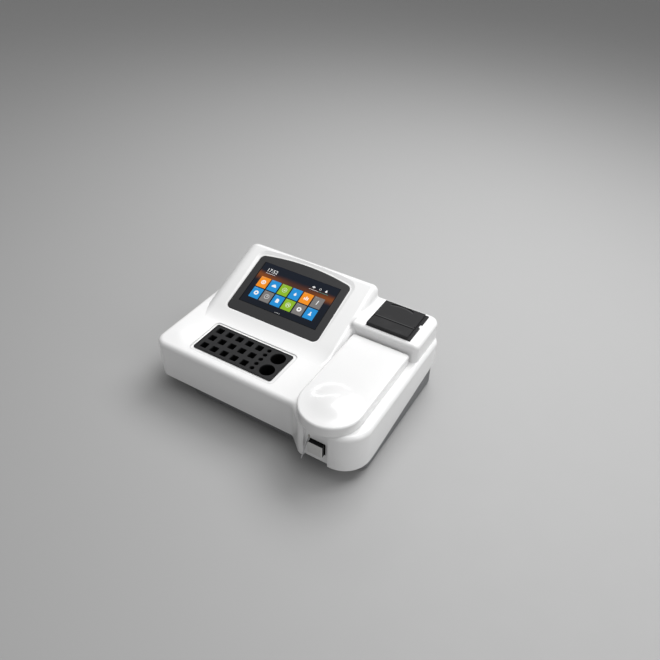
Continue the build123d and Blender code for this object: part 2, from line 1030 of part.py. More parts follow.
def display_bracket():
    """Sheet bracket that holds the display module against the hood."""
    top = glass_under - lcd_thickness
    low = top - bracket_thickness
    width = display_length + 2 * (lcd_margin + bracket_margin)
    height = display_width + 2 * lcd_margin
    plate = on_screen(Pos(0, display_width / 2) * Rectangle(width, height), low, top)
    seat = bezel_proud - bezel_thickness - wall
    for side in (-1, 1):
        for end in (-1, 1):
            x = side * (width / 2 - bracket_post / 2)
            y = display_width / 2 + end * (height / 2 - bracket_post / 2)
            plate += on_screen(Pos(x, y) * Rectangle(bracket_post, bracket_post), low, seat)
    window = Pos(0, display_width / 2) * Rectangle(display_length / 2, display_width / 2)
    return plate - on_screen(window, low - overrun, top + overrun)


def well_places():
    """Centres of the square cuvette wells."""
    first_y = block_y + block_width / 2 - (well_rows - 1) * well_pitch_y / 2
    return [
        (block_x + well_first_x + column * well_pitch_x, first_y + row * well_pitch_y)
        for column in range(well_columns)
        for row in range(well_rows)
    ]


def tube_places():
    """Centres of the small round holes."""
    first_y = block_y + block_width / 2 - (tube_holes - 1) * tube_pitch / 2
    return [(block_x + tube_hole_x, first_y + hole * tube_pitch) for hole in range(tube_holes)]


def bottle_places():
    """Centres of the two large reagent holes."""
    middle = block_y + block_width / 2
    return [(block_x + bottle_hole_x, middle + side * bottle_pitch / 2) for side in (-1, 1)]


def incubator_block():
    """Metal block with blind wells, hung under the deck by a lug at each end."""
    block = extrude(Pos(0, 0, block_under_z) * block_outline(rim_width), amount=block_height)
    for side in (0, 1):
        x = block_x + rim_width - lug_length + side * (block_length - 2 * rim_width + lug_length)
        block += box(
            x,
            x + lug_length,
            block_y + lug_inset,
            block_y + block_width - lug_inset,
            under_deck_z - lug_thickness,
            under_deck_z,
        )
    floor = block_top_z - well_depth
    for x, y in well_places():
        block -= extrude(
            Pos(x, y, floor) * RectangleRounded(well_size, well_size, well_corner_radius), amount=well_depth + overrun
        )
    for x, y in tube_places():
        block -= rod(x, y, floor, block_top_z + overrun, tube_hole_diameter / 2)
    for x, y in bottle_places():
        block -= rod(x, y, floor, block_top_z + overrun, bottle_hole_diameter / 2)
    return block


def block_rim():
    """Black rubber rim between the block and the deck."""
    height = wall + rim_proud
    ring = extrude(Pos(0, 0, under_deck_z) * block_outline(0), amount=height)
    return ring - extrude(Pos(0, 0, under_deck_z) * block_outline(rim_width), amount=height)


def heater_pad():
    """Flat heater on the block's underside."""
    return box(
        block_x + heater_margin,
        block_x + block_length - heater_margin,
        block_y + heater_margin,
        block_y + block_width - heater_margin,
        block_under_z - heater_thickness,
        block_under_z,
    )


def lid_outline(inset):
    """Long lid with a half-round front, drawn in by inset."""
    left, right = lid_left_x, lid_right_x
    sides = Polyline((left, lid_turn_y), (left, lid_rear_y), (right, lid_rear_y), (right, lid_turn_y))
    front = ThreePointArc((left, lid_turn_y), (lid_x, lid_front_y), (right, lid_turn_y))
    face = make_face(sides + front)
    for x in (left, right):
        face = fillet(near_corner(face, x, lid_rear_y), lid_rear_radius)
    if inset > 0:
        face = offset(face, amount=-inset)
    return face


def lid_dome(z):
    """Low dome on the front of the lid that fades out into its flat top at z."""
    reach = lid_width / 2 - lid_edge_radius
    rise = Bezier((0, lid_crown), (reach * dome_inner_share, lid_crown), (reach * dome_outer_share, 0), (reach, 0))
    walls = Polyline((reach, 0), (reach, -overrun), (0, -overrun), (0, lid_crown))
    half = make_face(rise + walls)
    dome = revolve(Plane.XZ * half, axis=Axis.Z)
    return Pos(lid_x, lid_turn_y, z) * dome


def hinge_sides():
    """Inner face of each lid knuckle, and the direction towards the lid's middle."""
    left = lid_left_x + hinge_side + knuckle_width
    right = lid_right_x - hinge_side - knuckle_width
    return [(left, 1), (right, -1)]


def compartment_lid():
    """White lid over the measuring compartment, with hinge knuckles inside its rear."""
    lid = extrude(Pos(0, 0, lid_z) * lid_outline(0), amount=lid_height)
    lid = fillet(lid.faces().sort_by(Axis.Z)[-1].edges(), lid_edge_radius)
    lid += lid_dome(lid_top_z)
    lid -= extrude(Pos(0, 0, lid_z) * lid_outline(lid_wall), amount=lid_height - lid_wall)
    lid -= lid_dome(lid_top_z - lid_wall)
    roof = lid_top_z - lid_wall
    knuckle_radius = knuckle_diameter / 2
    for face_x, inward in hinge_sides():
        x0, x1 = sorted((face_x, face_x - inward * knuckle_width))
        lid += box(x0, x1, hinge_y - knuckle_radius, lid_rear_y - lid_wall, hinge_z, roof)
        lid += rod_x(x0, x1, hinge_y, hinge_z, knuckle_radius)
        lid -= rod_x(x0, x1, hinge_y, hinge_z, hinge_pin_diameter / 2 + hinge_fit)
        near = face_x + inward * (hinge_play - lug_slot_play)
        far = face_x + inward * (hinge_play + bracket_width + lug_slot_play)
        s0, s1 = sorted((near, far))
        slot_top = hinge_z + lug_radius + lug_slot_play
        lid -= box(s0, s1, hinge_y, lid_rear_y + overrun, lid_z, slot_top)
    heel = box(lid_left_x, lid_right_x, hinge_y, lid_rear_y + overrun, deck_z, lid_z + lid_heel)
    return lid - heel


def lid_liner():
    """Flat plate that closes the underside of the lid in front of its hinge."""
    low = lid_z + liner_recess
    plate = extrude(Pos(0, 0, low) * lid_outline(lid_wall), amount=liner_thickness)
    plate -= box(lid_left_x, lid_right_x, hinge_y - hinge_foot - liner_gap, lid_rear_y, low, lid_top_z)
    ribs = []
    for side in (-1, 1):
        x = lid_x + side * lid_width / 4
        y = lid_turn_y + lid_width / 2
        ribs.append(box(x, x + rib_width, y, y + rib_length, low + liner_thickness, lid_top_z - lid_wall))
    for rib in ribs:
        plate += rib
    return plate


def lid_hinge_brackets():
    """Two lugs screwed to the deck that hold the hinge pin."""
    brackets = []
    for face_x, inward in hinge_sides():
        near = face_x + inward * hinge_play
        x0, x1 = sorted((near, near + inward * bracket_width))
        lug = box(x0, x1, hinge_y - lug_radius, hinge_y + lug_radius, deck_z, hinge_z)
        lug += rod_x(x0, x1, hinge_y, hinge_z, lug_radius)
        lug += box(x0, x1, hinge_y - hinge_foot, hinge_y + lug_radius, deck_z, deck_z + hinge_foot_thickness)
        lug -= rod_x(x0, x1, hinge_y, hinge_z, hinge_pin_diameter / 2)
        brackets.append(lug)
    return Compound(brackets)


def lid_hinge_pin():
    """Steel pin through both lugs and both knuckles."""
    return rod_x(lid_left_x + hinge_side, lid_right_x - hinge_side, hinge_y, hinge_z, hinge_pin_diameter / 2)


def compartment_tray():
    """Open box under the lid, hung under the deck, that holds the pump and the flow cell."""
    tray = tray_box(tray_wall, tray_floor_z - tray_wall, under_deck_z)
    tray += tray_box(tray_wall + tray_flange, under_deck_z - tray_wall, under_deck_z)
    tray -= tray_box(0, tray_floor_z, deck_z)
    tray -= rod(pump_x, pump_y, tray_floor_z - tray_wall - overrun, tray_floor_z + overrun, shaft_hole_radius)
    back = tray_rear_y + tray_wall + overrun
    tray -= rod_y(optic_x, tray_rear_y - overrun, back, optic_z, lens_tube_radius)
    tray -= rod_y(waste_tube_x, tray_rear_y - overrun, back, pump_tube_z, pump_tube_diameter / 2 + tube_play)
    front = tray_front_y - tray_wall - overrun
    tray -= rod_y(probe_x, front, tray_front_y + overrun, sipper_z, tube_radius + tube_play)
    return tray


def pump_housing():
    """Pump bed with a round track, open to the rear for both ends of the tube."""
    low = tray_floor_z
    bed = rod(pump_x, pump_y, low, low + pump_height, pump_outer_radius)
    bed += box(
        pump_x - pump_outer_radius,
        pump_x + pump_outer_radius,
        pump_y,
        pump_y + pump_outer_radius,
        low,
        low + pump_height,
    )
    bed -= rod(pump_x, pump_y, low + pump_base, low + pump_height + overrun, track_radius)
    bed -= box(
        pump_x - track_radius,
        pump_x + track_radius,
        pump_y,
        pump_y + pump_outer_radius + overrun,
        low + pump_base,
        low + pump_height + overrun,
    )
    return bed - rod(pump_x, pump_y, low - overrun, low + pump_height, shaft_hole_radius)


def roller_places():
    """Centres of the pump rollers round the shaft."""
    places = []
    for number in range(rollers):
        turn = math.radians(90 + number * 360 / rollers)
        places.append((pump_x + roller_circle * math.cos(turn), pump_y + roller_circle * math.sin(turn)))
    return places


def pump_rotor():
    """Two plates on a shaft, with a pin between them for each roller."""
    low = rotor_z
    lower_plate = rod(pump_x, pump_y, low, low + rotor_plate, rotor_radius)
    upper_z = low + rotor_plate + roller_height + 2 * roller_play
    upper_plate = rod(pump_x, pump_y, upper_z, upper_z + rotor_plate, rotor_radius)
    rotor = lower_plate + upper_plate + rod(pump_x, pump_y, low, upper_z, rotor_hub_radius)
    for x, y in roller_places():
        rotor += rod(x, y, low, upper_z, roller_pin_radius)
    rotor += rod(pump_x, pump_y, upper_z, upper_z + rotor_plate + knob_height, knob_radius)
    rotor += rod(pump_x, pump_y, tray_floor_z - tray_wall - shaft_reach, low, shaft_radius)
    return rotor


def pump_roller(number):
    """One free roller on its pin."""
    x, y = roller_places()[number]
    low = rotor_z + rotor_plate + roller_play
    roller = rod(x, y, low, low + roller_height, roller_radius)
    return roller - rod(x, y, low, low + roller_height, roller_pin_radius + fit)


def pump_motor():
    """Geared motor under the tray."""
    top = tray_floor_z - tray_wall
    half = pump_motor_size / 2
    low = top - pump_motor_height
    motor = box(pump_x - half, pump_x + half, pump_y - half, pump_y + half, low, top)
    motor = chamfer(motor.edges().filter_by(Axis.Z), motor_chamfer)
    return motor - rod(pump_x, pump_y, top - shaft_reach - overrun, top + overrun, shaft_radius + fit)


def route_radii(points):
    """Bend radius at each inner point of a tube's route."""
    radii = []
    for before, here, after in zip(points, points[1:], points[2:]):
        arriving = Vector(*here) - Vector(*before)
        leaving = Vector(*after) - Vector(*here)
        turn = math.radians(arriving.get_angle(leaving))
        run = min(arriving.length, leaving.length)
        radii.append(min(tube_bend, bend_share * run / math.tan(turn / 2)))
    return radii


def tube_along(points, diameter):
    """Round tube on straight runs joined by tangent arcs."""
    path = FilletPolyline(*points, radius=route_radii(points))
    start = Plane(origin=path @ 0, z_dir=path % 0)
    return sweep(start * Circle(diameter / 2), path=path)


def pump_tube():
    """Tube from the flow cell round the pump track and on to the waste fitting."""
    reach = track_radius - pump_tube_diameter / 2 - tube_play
    z = pump_tube_z
    enter = (pump_x - reach, holder_front_y, z)
    left = (pump_x - reach, pump_y, z)
    front = (pump_x, pump_y - reach, z)
    right = (pump_x + reach, pump_y, z)
    straight = (pump_x + reach, pump_y + pump_outer_radius + tube_radius, z)
    clear = (waste_tube_x, holder_front_y - sidestep_gap, z)
    end = (waste_tube_x, rear_y - waste_tail, z)
    route = (right, straight, clear, end)
    loop = Line(enter, left) + ThreePointArc(left, front, right)
    tail = FilletPolyline(*route, radius=route_radii(route))
    start = Plane(origin=enter, z_dir=(0, -1, 0))
    path = Wire((loop + tail).edges())
    return sweep(start * Circle(pump_tube_diameter / 2), path=path)


def sipper_tube():
    """Fine tube from the probe into the tray and along its side to the flow cell."""
    tilt = math.radians(probe_tilt)
    inner_y = facet_y + probe_stub * math.sin(tilt)
    inner_z = probe_z + probe_stub * math.cos(tilt)
    rise = sipper_z - inner_z
    bend_y = inner_y + rise * math.tan(tilt)
    side_x = tray_left_x + side_run_gap
    points = [
        (probe_x, inner_y, inner_z),
        (probe_x, bend_y, sipper_z),
        (probe_x, tray_front_y + sipper_in, sipper_z),
        (side_x, tray_front_y + sipper_in + sipper_cross, floor_run_z),
        (side_x, holder_front_y - sipper_cross / 2, floor_run_z),
        (side_x + side_run_gap, holder_middle_y, inlet_z),
        (holder_left_x, holder_middle_y, inlet_z),
    ]
    return tube_along(points, 2 * tube_radius)


def flow_cell_holder():
    """Metal block that holds the flow cell in the light beam."""
    holder = box(
        holder_left_x, holder_right_x, holder_front_y, holder_rear_y, tray_floor_z, tray_floor_z + holder_height
    )
    half = cell_size / 2 + cell_gap
    cell_low = tray_floor_z + holder_height - cell_height + cell_proud
    holder -= box(
        optic_x - half,
        optic_x + half,
        holder_middle_y - half,
        holder_middle_y + half,
        cell_low,
        tray_floor_z + holder_height + overrun,
    )
    return holder - rod_y(optic_x, holder_front_y - overrun, holder_rear_y + overrun, optic_z, beam_diameter / 2)


def flow_cell():
    """Clear flow cell with a cap, standing in its holder."""
    low = tray_floor_z + holder_height - cell_height + cell_proud
    half = cell_size / 2
    body = box(
        optic_x - half, optic_x + half, holder_middle_y - half, holder_middle_y + half, low, low + cell_height
    )
    top = low + cell_height
    return body + rod(optic_x, holder_middle_y, top, top + cell_cap_height, cell_size / 3)


def detector_board():
    """Small upright board with the photodiode against the holder."""
    board_y = holder_front_y - diode_length
    half = detector_width / 2
    board = box(
        optic_x - half,
        optic_x + half,
        board_y - detector_thickness,
        board_y,
        tray_floor_z,
        optic_z + detector_height / 2,
    )
    return board + rod_y(optic_x, board_y, holder_front_y, optic_z, diode_diameter / 2)


def lens_tube():
    """Tube between the filter wheel and the flow cell holder."""
    tube = rod_y(optic_x, holder_rear_y, lens_end_y, optic_z, lens_tube_radius)
    return tube - rod_y(optic_x, holder_rear_y, lens_end_y, optic_z, lens_tube_bore)


def filter_places():
    """Centres of the filters on the wheel, as x and z."""
    places = []
    for number in range(wheel_filters):
        turn = math.radians(90 + number * 360 / wheel_filters)
        places.append((optic_x + filter_circle * math.cos(turn), wheel_z + filter_circle * math.sin(turn)))
    return places


def filter_wheel():
    """Wheel of colour filters on its shaft."""
    wheel = rod_y(optic_x, wheel_y, wheel_y + wheel_thickness, wheel_z, wheel_radius)
    for x, z in filter_places():
        wheel -= rod_y(x, wheel_y - overrun, wheel_y + wheel_thickness + overrun, z, filter_diameter / 2)
    shaft_end = optic_plate_y + optic_plate + filter_shaft_reach
    return wheel + rod_y(optic_x, wheel_y, shaft_end, wheel_z, filter_shaft_radius)


def optical_filters():
    """Round glass filters in the wheel."""
    low = wheel_y + (wheel_thickness - filter_thickness) / 2
    return Compound([rod_y(x, low, low + filter_thickness, z, filter_diameter / 2) for x, z in filter_places()])


def optics_bracket():
    """Upright plate on the base that carries the lamp block and the wheel motor."""
    half = optic_bracket_half
    top = optic_z + lamp_block / 2
    back = optic_plate_y + optic_plate
    plate = box(optic_x - half, optic_x + half, optic_plate_y, back, floor_z, top)
    plate += box(optic_x - half, optic_x + half, optic_plate_y, back + optic_foot, floor_z, floor_z + optic_plate)
    plate -= rod_y(optic_x, optic_plate_y - overrun, back + overrun, optic_z, lamp_bore_radius)
    hole = filter_shaft_radius + shaft_clearance
    return plate - rod_y(optic_x, optic_plate_y - overrun, back + overrun, wheel_z, hole)


def filter_motor():
    """Stepping motor behind the filter wheel."""
    start = optic_plate_y + optic_plate
    motor = rod_y(optic_x, start, start + filter_motor_length, wheel_z, filter_motor_radius)
    bore = rod_y(optic_x, start - overrun, start + filter_shaft_reach + overrun, wheel_z, filter_shaft_radius + fit)
    return motor - bore


def lamp_housing():
    """Finned block round the halogen lamp."""
    start = optic_plate_y + optic_plate
    half = lamp_block / 2
    end = start + lamp_block_length
    block = box(optic_x - half, optic_x + half, start, end, optic_z - half, optic_z + half)
    block -= rod_y(optic_x, start - overrun, start + lamp_length, optic_z, lamp_bore_radius)
    for number in range(lamp_fins):
        y = start + lamp_length + fin_pitch * (number + 1 / 2)
        block -= box(optic_x - half - overrun, optic_x + half + overrun, y, y + fin_pitch / 2, optic_z + fin_root, optic_z + half + overrun)
    return block


def halogen_lamp():
    """Small lamp in its housing, with its base against the block."""
    start = optic_plate_y + optic_plate
    end = start + lamp_length
    base = rod_y(optic_x, end - lamp_base, end, optic_z, lamp_bore_radius)
    bulb = rod_y(optic_x, start + lamp_bulb_radius, end - lamp_base, optic_z, lamp_bulb_radius)
    return base + bulb + Pos(optic_x, start + lamp_bulb_radius, optic_z) * Sphere(lamp_bulb_radius)


def sipper_probe():
    """Thin steel probe that reaches down in front of the nose."""
    tilt = math.radians(probe_tilt)
    length = (facet_y - nose_y + probe_reach) / math.sin(tilt) - probe_radius / math.tan(tilt)
    return along_probe(-probe_stub, length, probe_radius)


def probe_ferrule():
    """Bush that holds the probe in the nose."""
    bush = along_probe(-ferrule_inside, ferrule_outside, ferrule_radius)
    return bush - along_probe(-ferrule_inside, ferrule_outside, probe_radius)


def key_guide():
    """Black sleeve in the nose that guides the sample key."""
    back = facet_y + guide_depth
    guide = box(guide_left_x, guide_right_x, facet_y, back, guide_low_z, guide_top_z)
    guide -= box(
        guide_left_x + guide_wall,
        guide_right_x - guide_wall,
        facet_y - overrun,
        back - guide_back,
        guide_low_z + guide_wall,
        guide_top_z - guide_wall,
    )
    hole = key_stem_radius + switch_bore_clearance
    return guide - rod_y(key_x, back - guide_back - overrun, back + overrun, key_z, hole)


def sample_key():
    """Black body of the push key, with a stem into its switch."""
    front = facet_y - key_proud + key_cap_thickness
    back = facet_y - key_proud + key_length
    key = box(key_left_x, key_right_x, front, back, key_low, key_low + key_height)
    stem_end = facet_y + guide_depth + key_stem_reach
    return key + rod_y(key_x, back - overrun, stem_end, key_z, key_stem_radius)


def key_cap():
    """Light front plate of the push key."""
    front = facet_y - key_proud
    cap = box(key_left_x, key_right_x, front, front + key_cap_thickness, key_low, key_low + key_height)
    return fillet(cap.faces().sort_by(Axis.Y)[0].edges(), key_radius)


def key_switch():
    """Switch behind the key, against the tray, that springs the key back."""
    front = facet_y + guide_depth
    half = switch_length / 2
    body = box(
        key_x - half, key_x + half, front, tray_front_y - tray_wall, key_z - switch_height / 2, key_z + switch_height / 2
    )
    end = front + key_stem_reach + key_stroke + overrun
    return body - rod_y(key_x, front - overrun, end, key_z, key_stem_radius + switch_bore_clearance)


def printer_frame():
    """Charcoal printer body with its paper bay, front block and hinge ears."""
    top = platform_z + printer_flange
    frame = box(printer_left_x, printer_right_x, printer_front_y, printer_rear_y, platform_z, top)
    notch_y = printer_front_y + notch_start
    frame -= box(
        printer_right_x - notch_depth,
        printer_right_x + overrun,
        notch_y,
        notch_y + notch_length,
        platform_z - overrun,
        top + overrun,
    )
    front = box(cover_left_x, cover_right_x, printer_front_y, block_rear_y, platform_z, cover_top_z)
    lead = front.edges().filter_by(Axis.X).sort_by(lambda e: e.center().Z - e.center().Y)[-1]
    frame += chamfer(lead, printer_chamfer)
    body_low_z = platform_z - printer_body_depth
    frame += box(body_left_x, body_right_x, body_front_y, body_rear_y, body_low_z, top)
    frame -= box(bay_left_x, bay_right_x, bay_front_y, bay_rear_y, bay_floor_z, platform_z)
    frame -= box(bay_left_x, bay_right_x, block_rear_y, bay_rear_y, bay_floor_z, cover_top_z + overrun)
    relief_z = platform_z + ear_relief
    relief_left = tongue_left_x - door_play
    relief_right = tongue_right_x + door_play
    frame -= box(relief_left, relief_right, block_rear_y, door_wide_y, relief_z, cover_top_z)
    for x0, x1 in ((cover_left_x, relief_left), (relief_right, cover_right_x)):
        frame += box(x0, x1, block_rear_y, door_axis_y, platform_z, cover_top_z)
        frame += box(x0, x1, door_axis_y, door_axis_y + door_axis_drop, platform_z, door_axis_z)
        frame += rod_x(x0, x1, door_axis_y, door_axis_z, door_axis_drop)
    for x in (roll_x - roll_width / 4, roll_x + roll_width / 4):
        y0 = roll_y - roll_radius / 2
        y1 = roll_y + roll_radius / 2
        cradle = box(x, x + printer_wall, y0, y1, bay_floor_z, bay_floor_z + cradle_height)
        frame += cradle - rod_x(x, x + printer_wall, roll_y, roll_z, roll_radius + roll_floor_gap)
    return frame - rod_x(pin_left_x, pin_right_x, door_axis_y, door_axis_z, door_pin_radius)


def printer_door():
    """Paper door, hinged at the groove, with a finger grip near its rear edge and lugs for the platen."""
    low = cover_top_z - door_thickness
    door = box(cover_left_x, cover_right_x, door_wide_y, door_rear_y, low, cover_top_z)
    tongue = box(tongue_left_x, tongue_right_x, door_front_y, door_wide_y + overrun, low, cover_top_z)
    lead = tongue.edges().filter_by(Axis.X).sort_by(lambda e: e.center().Z - e.center().Y)[-1]
    door += fillet(lead, door_edge_radius)
    centre_y = door_rear_y - grip_rear - grip_circle
    outer = Cylinder(grip_circle + grip_groove / 2, grip_depth * 2)
    inner = Cylinder(grip_circle - grip_groove / 2, grip_depth * 2)
    half = grip_width / 2
    window = box(-half, half, 0, grip_circle + grip_groove, -grip_depth, grip_depth)
    door -= Pos(printer_x - grip_offset, centre_y, cover_top_z) * ((outer - inner) & window)
    lug_half = platen_lug_width / 2
    for x0 in (platen_left_x - platen_gap - platen_lug, platen_right_x + platen_gap):
        x1 = x0 + platen_lug
        door += box(x0, x1, platen_y - lug_half, platen_y + lug_half, platen_z, low + overrun)
        door += rod_x(x0, x1, platen_y, platen_z, lug_half)
        door -= rod_x(x0 - overrun, x1 + overrun, platen_y, platen_z, platen_shaft_radius + fit)
    return door - rod_x(tongue_left_x, tongue_right_x, door_axis_y, door_axis_z, door_pin_radius + fit)


def door_hinge_pin():
    """Steel pin of the paper door."""
    return rod_x(pin_left_x, pin_right_x, door_axis_y, door_axis_z, door_pin_radius)


def platen_roller():
    """Rubber sleeve that moves the paper."""
    sleeve = rod_x(platen_left_x, platen_right_x, platen_y, platen_z, platen_radius)
    return sleeve - rod_x(platen_left_x, platen_right_x, platen_y, platen_z, platen_shaft_radius)


def platen_shaft():
    """Steel shaft of the platen with its gear."""
    start = platen_left_x - platen_gap - platen_lug - platen_gap
    turn = mesh_angle + math.pi / platen_teeth
    shaft = rod_x(start, gear_x + gear_width, platen_y, platen_z, platen_shaft_radius)
    return shaft + gear(platen_teeth, turn, platen_y, platen_z)


def gear_face(teeth, turn):
    """Spur gear outline in the YZ plane, with one tooth at angle turn in radians."""
    pitch_radius = teeth * gear_module / 2
    tip = pitch_radius + gear_module
    root = pitch_radius - root_share * gear_module
    step = 2 * math.pi / teeth
    slack = gear_backlash / pitch_radius
    points = []
    for tooth in range(teeth):
        middle = turn + tooth * step
        for radius, share in ((root, -root_width_share), (tip, -tip_width_share), (tip, tip_width_share), (root, root_width_share)):
            angle = middle + share * (step - slack)
            points.append((radius * math.cos(angle), radius * math.sin(angle)))
    return make_face(Plane.YZ * Polyline(*points, close=True))


def gear(teeth, turn, y, z):
    """Spur gear along X at the printer's gear line."""
    return Pos(gear_x, y, z) * extrude(gear_face(teeth, turn), amount=gear_width, dir=(1, 0, 0))


def drive_gear():
    """Gear on the feed motor's shaft."""
    wheel = gear(drive_teeth, mesh_angle + math.pi, drive_y, drive_z)
    return wheel + rod_x(gear_x - drive_shaft_reach, gear_x, drive_y, drive_z, drive_shaft_radius)


def feed_motor():
    """Paper feed motor on a foot in the bay."""
    end = gear_x - motor_gear_gap
    motor = rod_x(end - feed_motor_length, end, drive_y, drive_z, feed_motor_radius)
    motor += box(
        end - motor_plate, end, drive_y - feed_motor_radius, drive_y + feed_motor_radius, bay_floor_z, drive_z
    )
    return motor - rod_x(end - drive_shaft_reach, end, drive_y, drive_z, drive_shaft_radius + fit)


def print_head():
    """Thermal head on the bay's rear wall, facing the platen."""
    half = head_length / 2
    top = platen_z + platen_radius - overrun / 2
    front = bay_rear_y - head_thickness
    return box(platen_x - half, platen_x + half, front, bay_rear_y, top - head_height, top)


def paper_roll():
    """Roll of paper lying in the bay."""
    half = roll_width / 2
    roll = rod_x(roll_x - half, roll_x + half, roll_y, roll_z, roll_radius)
    return roll - rod_x(roll_x - half, roll_x + half, roll_y, roll_z, roll_bore)


def panel_screw_places():
    """Screws round the rear panel, as x and z."""
    half = panel_lap / 2
    xs = (panel_left_x + half, (panel_left_x + panel_right_x) / 2, panel_right_x - half)
    return [(x, z) for x in xs for z in (panel_low_z + half, panel_top_z - half)]


def rear_panel():
    """Metal plate on the rear wall for the sockets, the switch and the fan."""
    panel = box(panel_left_x, panel_right_x, rear_y, rear_face_y, panel_low_z, panel_top_z)
    cuts = [
        (inlet_centre_x, inlet_width, inlet_height),
        (switch_centre_x, switch_body_width, switch_body_height),
        (usb_centre_x, usb_width, usb_height),
        (serial_centre_x, serial_d_width, serial_d_height),
    ]
    for x, width, height in cuts:
        panel -= box(
            x - width / 2, x + width / 2, rear_y - overrun, rear_face_y + overrun, port_z - height / 2, port_z + height / 2
        )
    panel -= rod_y(waste_tube_x, rear_y - overrun, rear_face_y + overrun, pump_tube_z, waste_barb_radius)
    for number in range(slot_count):
        z = port_z + (number - (slot_count - 1) / 2) * slot_pitch
        chord = math.sqrt(fan_bore_radius**2 - (z - port_z) ** 2) - slot_height / 2
        slot = box(
            fan_centre_x - chord, fan_centre_x + chord, rear_y - overrun, rear_face_y + overrun, z - slot_height / 2, z + slot_height / 2
        )
        panel -= slot
    for x, z in panel_screw_places():
        panel -= rod_y(x, rear_y - overrun, rear_face_y + overrun, z, panel_screw_radius)
    return panel


def panel_screws():
    """Pan-head screws of the rear panel."""
    screws = []
    for x, z in panel_screw_places():
        head = rod_y(x, rear_face_y, rear_face_y + panel_screw_head, z, panel_screw_head_radius)
        screws.append(head + rod_y(x, rear_face_y - panel_screw_length, rear_face_y, z, panel_screw_radius))
    return Compound(screws)


def power_inlet():
    """Recessed mains inlet with three pins."""
    x = inlet_centre_x
    inlet = box(
        x - inlet_width / 2,
        x + inlet_width / 2,
        rear_face_y - inlet_depth,
        rear_face_y,
        port_z - inlet_height / 2,
        port_z + inlet_height / 2,
    )
    flange = rounded_flange(x, inlet_flange_width, inlet_flange_height, inlet_flange, inlet_flange_radius)
    inlet += flange
    face = rear_face_y + inlet_flange
    half_x = inlet_width / 2 - inlet_wall
    half_z = inlet_height / 2 - inlet_wall
    inlet -= box(x - half_x, x + half_x, face - inlet_pocket, face + overrun, port_z - half_z, port_z + half_z)
    for dx, dz in ((-pin_spread, -pin_drop), (pin_spread, -pin_drop), (0, pin_drop)):
        inlet += box(
            x + dx - pin_width / 2,
            x + dx + pin_width / 2,
            face - inlet_pocket - overrun,
            face - inlet_pocket + pin_length,
            port_z + dz - pin_height / 2,
            port_z + dz + pin_height / 2,
        )
    return inlet


def rounded_flange(x, width, height, thickness, radius):
    """Flange on the rear panel's outer face with rounded corners."""
    plate = box(x - width / 2, x + width / 2, rear_face_y, rear_face_y + thickness, port_z - height / 2, port_z + height / 2)
    return fillet(plate.edges().filter_by(Axis.Y), radius)


def switch_body():
    """Frame and body of the mains switch."""
    x = switch_centre_x
    body = box(
        x - switch_body_width / 2,
        x + switch_body_width / 2,
        rear_face_y - rocker_depth,
        rear_face_y,
        port_z - switch_body_height / 2,
        port_z + switch_body_height / 2,
    )
    body += rounded_flange(x, rocker_frame_width, rocker_frame_height, rocker_flange, overrun)
    half_x = rocker_width / 2 + rocker_play
    half_z = rocker_sweep + rocker_play
    body -= box(
        x - half_x, x + half_x, rear_face_y - rocker_depth + inlet_wall, rear_face_y + rocker_flange + overrun, port_z - half_z, port_z + half_z
    )
    reach = rocker_width / 2 + rocker_play + rocker_pin_reach
    return body - rod_x(x - reach, x + reach, rocker_y, port_z, rocker_pin_radius + fit)


def switch_rocker():
    """Rocker of the mains switch, lying at its off position."""
    half = rocker_height / 2
    points = [(-rocker_root, -half * rocker_root_share), (rocker_end, -half), (rocker_middle, 0), (rocker_end, half), (-rocker_root, half * rocker_root_share)]
    rocker = Pos(-rocker_width / 2, 0, 0) * side_profile(points, 0, rocker_width)
    reach = rocker_width / 2 + rocker_play + rocker_pin_reach
    rocker += rod_x(-reach, reach, 0, 0, rocker_pin_radius)
    return Pos(switch_centre_x, rocker_y, port_z) * Rot(-rocker_swing / 2, 0, 0) * rocker


def waste_fitting():
    """Hose nipple for the waste bottle."""
    x, z = waste_tube_x, pump_tube_z
    fitting = rod_y(x, rear_y - waste_tail, rear_face_y + waste_barb_length, z, waste_barb_radius)
    fitting += rod_y(x, rear_face_y, rear_face_y + waste_nut, z, waste_nut_radius)
    for ring in range(1, barb_rings + 1):
        y = rear_face_y + waste_nut + ring * barb_pitch
        cone = Pos(x, y, z) * Rot(90, 0, 0) * Cone(waste_barb_radius + barb_step, waste_barb_radius, barb_pitch)
        fitting += cone
    return fitting - rod_y(x, rear_y - waste_tail - overrun, rear_face_y + waste_barb_length + overrun, z, waste_bore)


def port_board():
    """Upright board behind the rear panel with its serial and data sockets."""
    back = rear_y - board_back
    half = board_length / 2
    board = box(
        board_centre_x - half, board_centre_x + half, back - board_thickness, back, port_z - board_height / 2, port_z + board_height / 2
    )
    board += box(
        serial_centre_x - serial_width / 2, serial_centre_x + serial_width / 2, back, rear_y, port_z - serial_height / 2, port_z + serial_height / 2
    )
    board += box(
        serial_centre_x - serial_d_width / 2,
        serial_centre_x + serial_d_width / 2,
        rear_y,
        rear_face_y + serial_reach,
        port_z - serial_d_height / 2,
        port_z + serial_d_height / 2,
    )
    board += box(
        usb_centre_x - usb_width / 2, usb_centre_x + usb_width / 2, back, rear_face_y + usb_reach, port_z - usb_height / 2, port_z + usb_height / 2
    )
    for level in (-1, 1):
        z = port_z + level * usb_height / 4
        board -= box(
            usb_centre_x - usb_width / 2 + usb_sheet,
            usb_centre_x + usb_width / 2 - usb_sheet,
            rear_face_y + usb_reach - usb_socket_depth,
            rear_face_y + usb_reach + overrun,
            z - usb_socket_height / 2,
            z + usb_socket_height / 2,
        )
    return board


